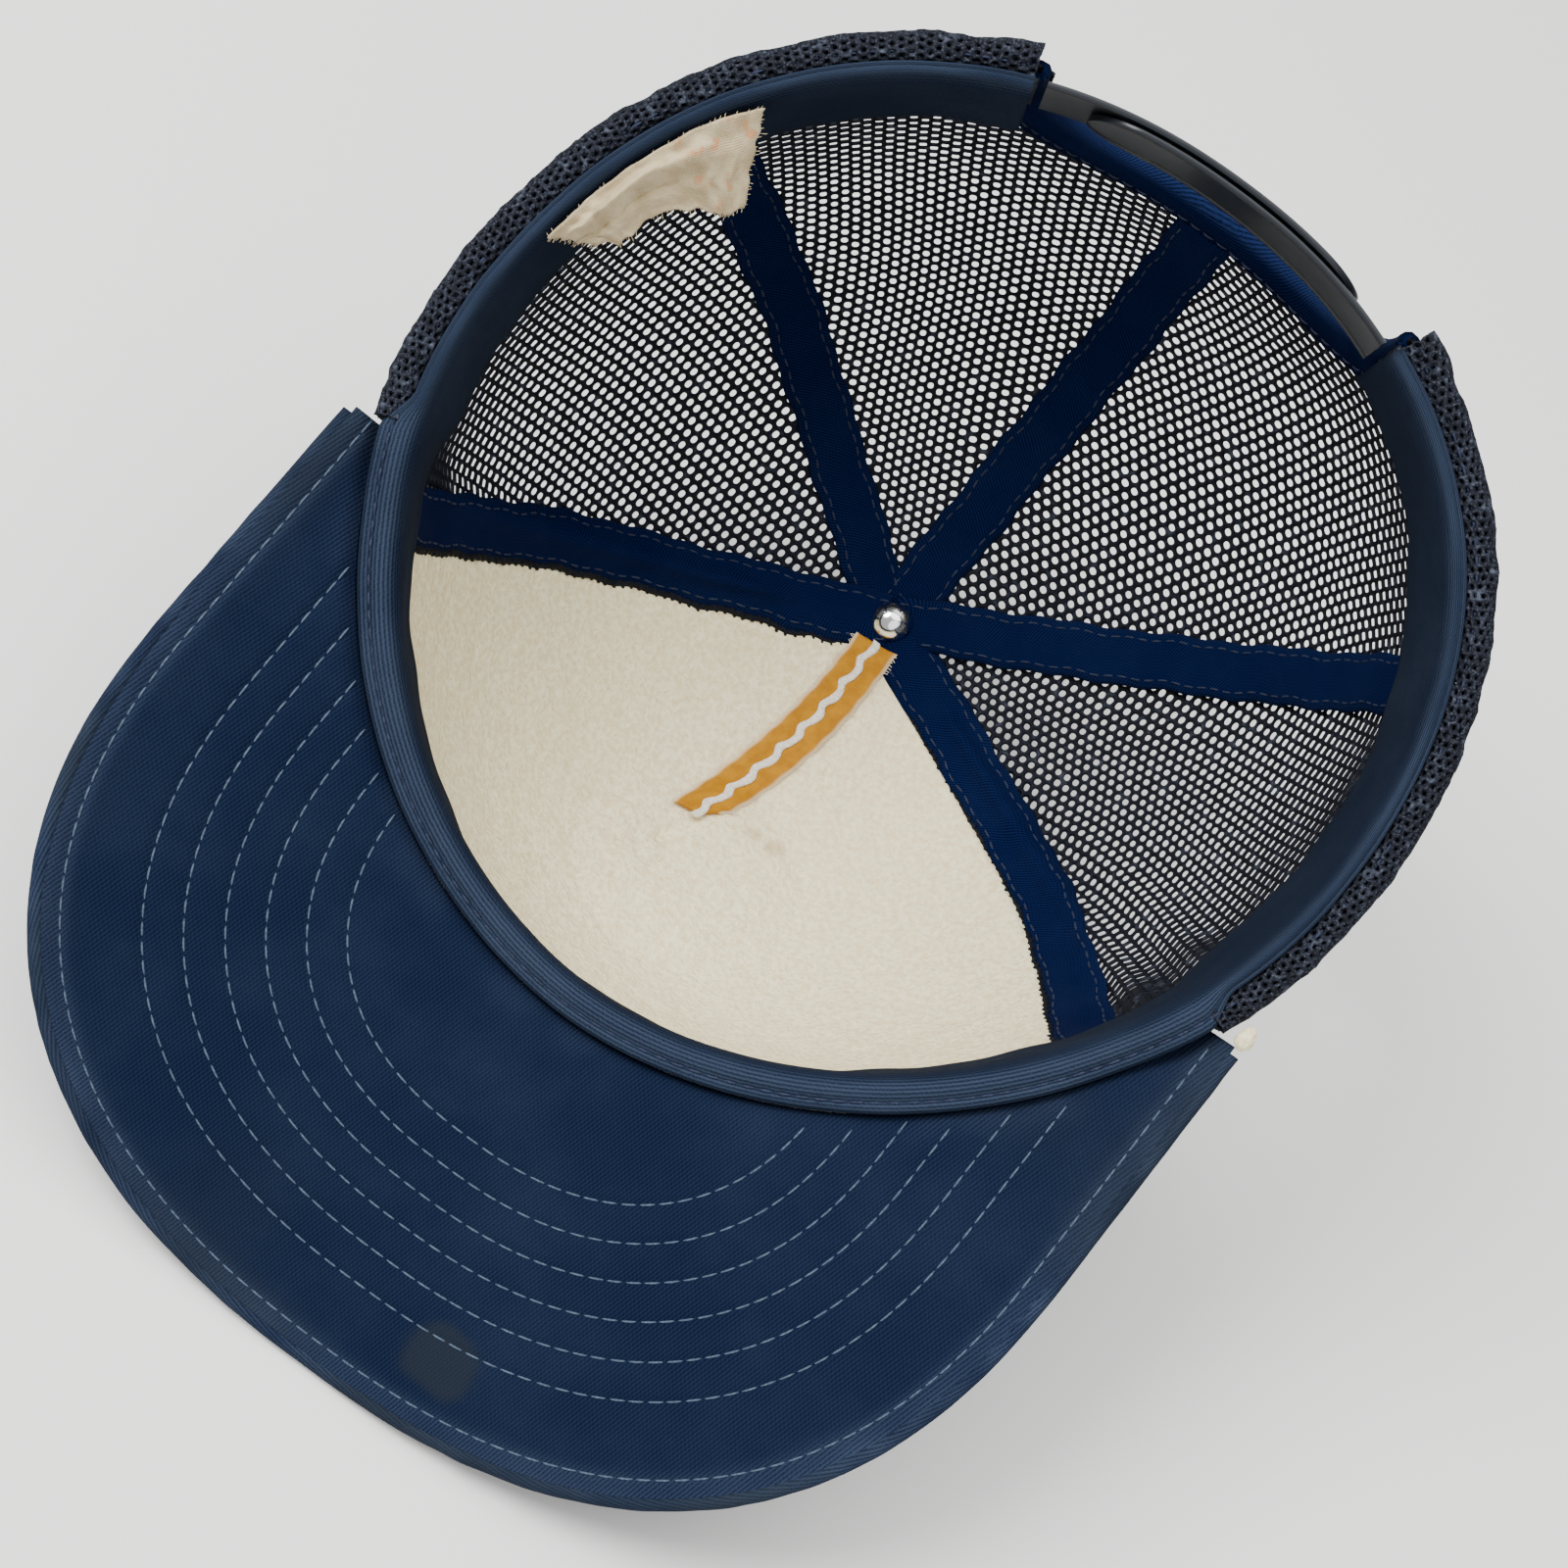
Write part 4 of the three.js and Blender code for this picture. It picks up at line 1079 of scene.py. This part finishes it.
def torn_label():
    """What is left of a woven label: a torn scrap, creased along its length, hanging from the band."""
    lo, hi = math.radians(-126), math.radians(-97.5)
    u = np.linspace(0, 1, 90)[:, None]
    v = np.linspace(0, 1, 46)[None, :]
    az = hi + (lo - hi) * u
    sewn_ragged = 0.5 * lattice(xyz(u * LABEL_LONG), 1.6, 61)
    free_ragged = 0.6 * lattice(xyz(u * LABEL_LONG, 5.0), 2.0, 62)
    # The free edge stands away from the band, most of all near its right end.
    reach = 5.5 + 2.0 * smooth(u / 0.15) + 5.0 * smooth((u - 0.35) / 0.4) + free_ragged
    inset = 7.4 + 0.8 * smooth((u - 0.8) / 0.2) + reach * v
    height = 1.6 + sewn_ragged - 0.8 * np.abs(2 * u - 1) ** 3 - (reach * 0.75 + 2.5) * v
    lean = math.radians(7.0) * smooth((u - 0.55) / 0.45) - math.radians(3.0) * smooth((0.3 - u) / 0.3)
    az = az + v * lean + 0.012 * lattice(xyz(0.0, v * LABEL_WIDE), 2.0, 63)
    fold = np.exp(-((v - 0.3 + 0.12 * (u - 0.5)) / 0.13) ** 2) * smooth(u / 0.1) * smooth((0.9 - u) / 0.35)
    crease = np.exp(-((v - 0.5 + 0.1 * (u - 0.5)) / 0.04) ** 2) * smooth((0.8 - u) / 0.3)
    cloth = xyz(u * LABEL_LONG, v * LABEL_WIDE)
    wrinkle = 0.4 * lattice(cloth, 3.5, 64)
    inset = inset + wrinkle * 0.5
    height = np.minimum(height + 2.6 * fold - 0.9 * crease + wrinkle, 2.6)
    top = rim_point(az, inset, height, lift=True)
    bottom = rim_point(az, inset - 0.3, height - 0.4, lift=True)
    rust = smooth((u - 0.45) / 0.3) + 0 * v
    piece = slab("label_scrap", top, bottom, MAT["label"], cloth=cloth, extra={"soil": rust}, flip=True)
    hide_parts("torn_label")
    rng = np.random.default_rng(8)
    threads = Bundle()
    borders = ((top[:, 0], top[:, 1]), (top[:, -1], top[:, -2]), (top[0], top[1]), (top[-1], top[-2]))
    for edge, next_row in borders:
        away = unit(edge - next_row)
        for k in range(1, len(edge) - 1, 2):
            out = away[k]
            bend = rng.normal(0, 0.35, 3)
            tip = edge[k] + out * rng.uniform(0.2, 0.9) + 0.6 * bend
            threads.tube([edge[k] - out * 0.5, (edge[k] + tip) / 2 + bend * 0.3, tip], 0.07, 4)
    fringe = threads.done("label_fray", MAT["label"])


torn_label()


CRUMB_PLACE, CRUMB_SIZE = np.array([90.5, -29.0, 0.4]), np.array([1.6, 2.4, 1.3])


def foam_crumb():
    """A crumb of the foam lining that pokes out between the hem and the brim's right corner."""
    angle = np.linspace(0, 2 * math.pi, 25)[:-1][:, None]
    rise = np.linspace(-0.98, 0.98, 12)[None, :] * math.pi / 2
    ball = xyz(np.cos(angle) * np.cos(rise), np.sin(angle) * np.cos(rise), np.sin(rise) + 0 * angle)
    lump = 1 + 0.3 * lattice(ball, 0.7, 91)[..., None]
    points = CRUMB_PLACE + ball * lump * CRUMB_SIZE
    columns, rows = points.shape[:2]
    faces = grid_faces(columns, rows, wrap_u=True).tolist()
    faces.append([k * rows for k in range(columns - 1, -1, -1)])
    faces.append([k * rows + rows - 1 for k in range(columns)])
    piece = make("foam_crumb", points.reshape(-1, 3), faces, MAT["fleece"])


foam_crumb()

# ---------------------------------------------------------------- brim

SIDE_SHARE = 0.3
ROWS = (3.3, 15.3, 21.5, 27.8, 34.0, 40.3, 46.6)  # stitch rows, as distances in from the edge
STAIN_PATCH = (19.0, -155.0, 6.5, 5.5)  # middle and half sizes of the dark patch


def brim_edge(turn, margin):
    """The brim's outline, margin in from its edge, from the left corner at turn -1 to the right one at 1.
    The share SIDE_SHARE of each half is the straight side and the rest is the round front."""
    x_side = np.sign(turn) * (BRIM_HALF_WIDTH - margin)
    past = np.abs(turn) - (1 - SIDE_SHARE)
    angle = np.minimum(np.abs(turn) / (1 - SIDE_SHARE), 1) * math.pi / 2
    e = 2 / BRIM_ROUND
    reach = BRIM_ROUND_Y - BRIM_TIP_Y - margin
    x = np.where(past > 0, x_side, x_side * np.sin(angle) ** e)
    round_y = BRIM_ROUND_Y - reach * np.clip(np.cos(angle), 0, 1) ** e
    side_y = BRIM_ROUND_Y + (CORNER_Y - BRIM_ROUND_Y) * past / SIDE_SHARE
    return x, np.where(past > 0, side_y, round_y)


def edge_distance(x, y):
    """How far in from the brim's outer edge a point lies, by halving."""
    low, high = np.full(x.shape, -6.0), np.full(x.shape, 80.0)
    for _ in range(40):
        m = (low + high) / 2
        a = np.abs(x) / (BRIM_HALF_WIDTH - m)
        b = np.maximum(BRIM_ROUND_Y - y, 0) / (BRIM_ROUND_Y - BRIM_TIP_Y - m)
        inside = a ** BRIM_ROUND + b ** BRIM_ROUND < 1
        low, high = np.where(inside, m, low), np.where(inside, high, m)
    return low


def corner_azimuth():
    low, high = 0.5, math.pi / 2
    for _ in range(40):
        mid = (low + high) / 2
        front = -rim_radius(mid) * math.cos(mid) < CORNER_Y
        low, high = (mid, high) if front else (low, mid)
    return high


SEAM_AZ = corner_azimuth()


def brim_grid(columns, rows, root_gap, margin):
    """x and y of a grid from the crown's seam out to the brim's edge, and the distance from the seam."""
    turn = np.linspace(-1, 1, columns)[:, None]
    v = np.linspace(0, 1, rows)[None, :]
    az = turn * SEAM_AZ
    root = rim_radius(az) + root_gap
    inner_x, inner_y = root * np.sin(az), -root * np.cos(az)
    outer_x, outer_y = brim_edge(turn, margin)
    x = inner_x + (outer_x - inner_x) * v
    y = inner_y + (outer_y - inner_y) * v
    return x, y, v * np.hypot(outer_x - inner_x, outer_y - inner_y)


def quilt(x, y, m):
    """How the cover rises and dips between its rows of stitches."""
    h = 0.12 * lattice(xyz(x, y), 9, 71) + 0.35 * lattice(xyz(x, y), 40, 72)
    for row in ROWS:
        h = h - 0.42 * np.exp(-((m - row) / 0.75) ** 2)
    return h


def brim_cover(name, node, face, depth):
    """One cloth face of the brim. face is 1 for the underside that shows when the cap is upside down."""
    x, y, from_seam = brim_grid(300, 110, 0.5, 0.2)
    m = edge_distance(x, y)
    z = brim_height(x, y) - depth
    puff = quilt(x, y, m) * smooth(from_seam / 3)
    tuck = -1.1 * np.exp(-(from_seam / 1.6) ** 2)
    show = xyz(x, y, z + face * (puff + tuck))
    hide = xyz(x, y, z + face * (tuck - 0.5))
    patch = lattice(xyz(x, y), 7, 73)
    wear = 0.75 * np.exp(-(m / 2.6) ** 2) * (0.75 + 0.5 * patch) + 0.3 * np.exp(-((m - 3.3) / 1.2) ** 2)
    wear = wear + 0.25 * smooth((8 - from_seam) / 8) * smooth(patch + 0.3)
    px, py, hx, hy = STAIN_PATCH
    ragged = lattice(xyz(x, y), 3.0, 79)
    box = (np.abs((x - px) / hx) ** 3 + np.abs((y - py) / hy) ** 3) ** (1 / 3)
    box = box + 0.14 * patch + 0.12 * ragged
    soil = 0.8 * smooth((1.15 - box) / 0.4) * (face > 0)
    edge_soil = 0.55 * smooth((9 - m) / 9) * smooth(0.35 + 0.9 * lattice(xyz(x, y), 26, 74))
    soil = np.clip(soil + edge_soil + 0.2 * smooth(lattice(xyz(x, y), 33, 75) - 0.2), 0, 1)
    piece = slab(name, show, hide, MAT["brim" if face > 0 else "outer"], cloth=xyz(x, y),
                 extra={"wear": np.clip(wear, 0, 1), "soil": soil}, flip=face > 0)
    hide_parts(node)
    lines = Bundle()
    for k, row in enumerate(ROWS):
        x, y = brim_edge(np.linspace(-1, 1, 1600), row)
        # Only the row along the edge goes right up to the crown.
        clear = np.hypot(x, y) - rim_radius(np.arctan2(x, -y)) > (1.2 if k else -9)
        x, y = x[clear], y[clear]
        line = xyz(x, y, brim_height(x, y) - depth + face * quilt(x, y, edge_distance(x, y)))
        stitches(lines, line, 3.25, 2.75, 0.2, lift=0.05, normal=(0, 0, face), jitter=0.1, seed=80 + k)
    row_piece = lines.done(name + "_stitches", MAT["pale"])


def brim_roll():
    """The cloth wrapped round the brim's edge."""
    turn = np.linspace(-0.992, 0.992, 420)
    # The roll's section as (distance out from the edge, height).
    loop = [(-0.6, 0.1), (0.3, 0.12), (1.0, -0.2), (1.5, -0.85), (1.7, -1.75), (1.5, -2.6), (1.0, -3.25),
            (0.3, -3.6), (-0.6, -3.6), (-0.8, -1.8)]
    sections = []
    for out, up in loop:
        x, y = brim_edge(turn, -out)
        lump = 0.16 * lattice(xyz(x, y, up), 4.0, 76) * (out > 0)
        z = brim_height(x, y) + up + lump
        sections.append(xyz(x + lump * 0.4 * np.sign(x), y - lump * 0.6, z))
    points = np.stack(sections, 1)
    cloth = xyz(distances(loop), np.arange(len(turn))[:, None] * 0.85)
    grain = lattice(points, 5.0, 77)
    wear = np.clip(0.55 + 0.45 * grain, 0, 1)
    soil = np.clip(0.35 + 0.6 * lattice(points, 20, 78), 0, 1)
    piece = bar("brim_rolled_edge", points, MAT["brim"], cloth, extra={"wear": wear, "soil": soil})
    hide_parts("brim_edge_roll")


def brim_stiffener():
    """The board between the brim's two covers, which only shows where they part."""
    x, y, _ = brim_grid(120, 24, 2.4, 2.0)
    z = brim_height(x, y)
    piece = slab("brim_stiffener", xyz(x, y, z - 1.25), xyz(x, y, z - 2.25), MAT["board"], flip=True)
    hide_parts("brim_board")


brim_stiffener()
brim_cover("brim_lining", "brim_under_cover", 1, 0.0)
brim_cover("brim_cloth", "brim_top_cover", -1, BRIM_THICK)
brim_roll()

# ---------------------------------------------------------------- back opening's binding


def arch_line(grow):
    """Azimuths and drops along the back opening's edge, moved outwards by grow."""
    turn = np.linspace(-0.985, 0.985, 150) * math.pi / 2
    e = 2 / ARCH_ROUND
    az = back_azimuth(np.sign(turn) * (ARCH_HALF + grow) * np.abs(np.sin(turn)) ** e)
    return az, drop_at_height(az, -0.8 - (ARCH_HEIGHT + grow) * np.cos(turn) ** e)


def arch_binding():
    """A folded tape over the cut edge of the mesh, seen on both of its faces."""
    # The tape's section as (distance out from the opening's edge, inset).
    loop = np.array([
        (7.5, 1.2), (7.4, 2.2), (4, 2.5), (1, 2.4), (-0.6, 2.1), (-1.3, 1.2), (-1.3, 0.2), (-0.7, -0.8),
        (0.5, -1.2), (4, -1.3), (7, -1.1), (7.1, -0.4), (4, -0.4), (0.3, -0.2), (0.2, 1.0), (4, 1.2)])
    points = np.stack([crown(*arch_line(grow), inset, soft=False) for grow, inset in loop], 1)
    points = points + 0.06 * lattice(points, 5, 82)[..., None]
    along = np.arange(len(points))[:, None] * 0.9
    cloth = xyz(distances(loop), along)
    wear = 0.4 * np.exp(-((loop[:, 0] + 1.0) / 0.8) ** 2) + 0 * along
    piece = bar("arch_twill", points, MAT["tape"], cloth, extra={"wear": wear})
    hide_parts("arch_binding")
    az, drop = arch_line(5.6)
    for inset, way in ((2.55, -1), (-1.35, 1)):
        line = crown(az, drop, inset, soft=False)
        stitches(TAPE_LINES, line, 2.9, 2.2, 0.2, normal=way * outward_normal(az, drop), seed=83)


arch_binding()
for bundle, name in ((TAPE_LINES, "tape_stitches"), (OUTER_LINES, "outer_stitches")):
    bundle.done(name, MAT["navy"])
OVERLOCK.done("overlocked_edges", MAT["overlock"])

# ---------------------------------------------------------------- snap strap


def strap_point(x, z, inset):
    az = back_azimuth(x)
    return crown(az, drop_at_height(az, z), inset, soft=False)


def strap_blank(name, sewn, free, outer, ribs_outside, body):
    """A strap with a round free end and a raised border on its outside or its inside."""
    way = math.copysign(1, free - sewn)
    radius = STRAP_HEIGHT / 2
    stop = free - way * radius
    # share runs to 1 along the straight part and on to 2 round the free end.
    share = np.concatenate([np.linspace(0, 1, 70), 1 + np.linspace(0, 1, 27)[1:]])
    turn = np.maximum(share - 1, 0) * math.pi / 2 * 0.985
    x = np.where(share <= 1, sewn + (stop - sewn) * share, stop + way * radius * np.sin(turn))
    half = radius * np.cos(turn)
    # Across the strap, as a share of its half height: a rounded rim, a raised border and a sunk field.
    v = np.array([-1, -0.99, -0.965, -0.93, -0.885, -0.86, -0.5, 0, 0.5, 0.86, 0.885, 0.93, 0.965, 0.99, 1.0])
    plain = np.array([-0.32, -0.1, 0, 0, 0, 0, 0, 0, 0, 0, 0, 0, 0, -0.1, -0.32])
    rib = np.where(np.abs(v) < 0.88, -0.26, plain)
    middle = STRAP_TOP - radius
    end_round = 0.3 * smooth((share - 1.93) / 0.07)
    z = middle + v[None, :] * half[:, None]
    x = x[:, None] + 0 * z
    outer_face, inner_face = (rib, plain) if ribs_outside else (plain, rib)
    outside = strap_point(x, z, outer - outer_face + end_round[:, None])
    inside = strap_point(x, z, outer + STRAP_THICK + inner_face - end_round[:, None])
    piece = slab(name, outside, inside, MAT["plastic"], flip=way < 0, body=body)
    face_outwards(piece)
    return piece


def rod(x, radius, heights):
    """A lathed rod square to the strap. heights lists (inset, share of the radius)."""
    z = STRAP_TOP - STRAP_HEIGHT / 2
    az = back_azimuth(x)
    normal = outward_normal(az, drop_at_height(az, z))
    foot = strap_point(x, z, 0.0)
    side = unit(np.cross(normal, (0, 0, 1.0)))
    up = np.cross(normal, side)
    angle = np.arange(28) * 2 * math.pi / 28
    ring = np.cos(angle)[:, None] * side + np.sin(angle)[:, None] * up
    rows = [foot + normal * -inset + ring * radius * share for inset, share in heights]
    return np.stack(rows)


def rods(name, radius, heights):
    """Rods at all the pegs' places, to cut from a strap or join to it."""
    points, faces = [], []
    for k in range(PEG_COUNT):
        rows = rod((k - (PEG_COUNT - 1) / 2) * PEG_PITCH, radius, heights)
        faces += tube_faces(*rows.shape[:2], start=k * rows.shape[0] * rows.shape[1])
        points.append(rows.reshape(-1, 3))
    tool = plain_object(name, np.concatenate(points), faces)
    face_outwards(tool)
    return tool


def combine(piece, tool, operation):
    """Cut the tool from the piece or join it on, for good."""
    cut = piece.modifiers.new("cut", "BOOLEAN")
    cut.operation, cut.object, cut.solver = operation, tool, "EXACT"
    bpy.context.view_layer.update()
    graph = bpy.context.evaluated_depsgraph_get()
    result = bpy.data.meshes.new_from_object(piece.evaluated_get(graph), depsgraph=graph)
    piece.modifiers.remove(cut)
    piece.data = result
    bpy.data.objects.remove(tool)
    piece.data.materials.clear()
    piece.data.materials.append(MAT["plastic"])


def straps():
    """The strap's two halves, snapped together, and the ends by which they are sewn in."""
    outer, inner = STRAP_INSET, STRAP_INSET + STRAP_THICK
    sewn = ARCH_HALF - STRAP_PLAY
    hole = strap_blank("hole_strap_moulded", -sewn, HOLE_STRAP_END, outer, True, "hole_strap")
    combine(hole, rods("holes", 2.7, [(outer - 1.5, 1), (inner + 1.5, 1)]), "DIFFERENCE")
    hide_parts("hole_strap")
    base = inner + STRAP_GAP
    peg = strap_blank("peg_strap_moulded", sewn, PEG_STRAP_END, base, False, "peg_strap")
    tip = base - 2.3
    stem = [(base + 0.6, 0.8), (base - 0.9, 0.78), (tip + 0.75, 0.8)]
    head = [(tip + 0.55, 1.0), (tip + 0.25, 0.95), (tip, 0.6)]
    combine(peg, rods("pegs", 1.7, stem + head), "UNION")
    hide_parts("peg_strap")
    for piece in (hole, peg):
        piece.data.shade_smooth()
        piece.data.set_sharp_from_angle(angle=math.radians(32))
    for side, name in ((-1, "strap_tab_left"), (1, "strap_tab_right")):
        az = side * np.linspace(back_azimuth(ARCH_HALF + 0.3), back_azimuth(ARCH_HALF + 12), 12)[:, None]
        z = np.linspace(STRAP_TOP - STRAP_HEIGHT + 1, STRAP_TOP - 1, 9)[None, :]
        drop = drop_at_height(az, z)
        inside, outside = crown(az, drop, 3.9, soft=False), crown(az, drop, 2.8, soft=False)
        tab = slab("moulded_" + name, inside, outside, MAT["plastic"], flip=side > 0)
        face_outwards(tab)
        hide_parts(name)


straps()

# ---------------------------------------------------------------- button and rivet


def lathe(name, profile, material, segments, ripple=None):
    """A turned shape about the cap's axis from (radius, z) pairs. ripple(z, angle) scales its radius."""
    angle = np.arange(segments) * 2 * math.pi / segments
    r, z = np.array(profile, float).T[..., None]
    if ripple is not None:
        r = r * ripple(z, angle)
    points = xyz(r * np.cos(angle), r * np.sin(angle), z)
    cloth = xyz(points[..., 0], points[..., 1])
    faces = tube_faces(len(profile), segments)
    piece = make(name, points.reshape(-1, 3), faces, material, cloth=cloth.reshape(-1, 3))
    face_outwards(piece)
    return piece


def button():
    """The covered button on the crown's outside, with its cloth gathered round it."""
    base = -CROWN_DEPTH - 0.4
    arc = np.linspace(0, math.pi / 2, 16)
    profile = [(0.4, base), (6.0, base), (7.3, base - 0.1), (7.8, base - 0.6)]
    profile += [(8.0 * math.cos(a) + 0.02, base - 1.2 - 4.0 * math.sin(a)) for a in arc]

    def gather(z, angle):
        folds = np.sin(angle * 9 + 0.7 * np.sin(angle * 2)) * smooth((z - base + 1.0) / 1.5 + 1)
        return 1 + 0.0144 * folds

    piece = lathe("covered_button", profile, MAT["outer"], 64, ripple=gather)
    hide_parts("top_button")


def rivet():
    """The chrome rivet inside, a smooth dome on a flange."""
    seat = -CROWN_DEPTH + 3.9
    arc = np.linspace(0.12, math.pi / 2 - 0.02, 18)
    profile = [(0.3, seat - 4), (1.8, seat - 4), (1.8, seat), (3.6, seat), (4.0, seat + 0.2)]
    profile += [(4.15 * math.cos(a), seat + 0.35 + 2.9 * math.sin(a)) for a in arc]
    piece = lathe("rivet_head", profile, MAT["chrome"], 72)
    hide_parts("button_rivet")


button()
rivet()

# ---------------------------------------------------------------- floor, light and world


FLOOR_REACH = 2.5


def floor():
    mesh = bpy.data.meshes.new("floor")
    corners = [(x * FLOOR_REACH, y * FLOOR_REACH, 0) for x, y in ((-1, -1), (1, -1), (1, 1), (-1, 1))]
    mesh.from_pydata(corners, [], [(0, 1, 2, 3)])
    piece = bpy.data.objects.new("floor", mesh)
    scene.collection.objects.link(piece)
    s = Shader("floor_paper")
    tone = s.noise(s.place(), 3.0, 2)
    base = s.mix(tone, (0.86, 0.86, 0.845), (0.89, 0.89, 0.875))
    mesh.materials.append(s.finish(base, 0.75, Specular_IOR_Level=0.2))


def lamp(name, place, size, power):
    """A round soft lamp turned towards the cap."""
    data = bpy.data.lights.new(name, "AREA")
    data.shape, data.size, data.energy = "DISK", size, power
    light = bpy.data.objects.new(name, data)
    scene.collection.objects.link(light)
    light.location = place
    light.rotation_euler = (MIDDLE - Vector(place)).to_track_quat("-Z", "Y").to_euler()


floor()
MIDDLE = Vector((0.0, 0.0, 0.06))
lamp("key", (-0.7, -0.35, 1.15), 0.7, 25)
lamp("top", (0.1, 0.1, 1.6), 1.6, 21)
lamp("fill", (0.6, -0.9, 0.9), 1.2, 5)
world_shade = bpy.data.worlds.new("studio")
scene.world = world_shade
world_shade.use_nodes = True
background = world_shade.node_tree.nodes["Background"]
background.inputs["Color"].default_value = (1, 1, 1, 1)
background.inputs["Strength"].default_value = 0.6
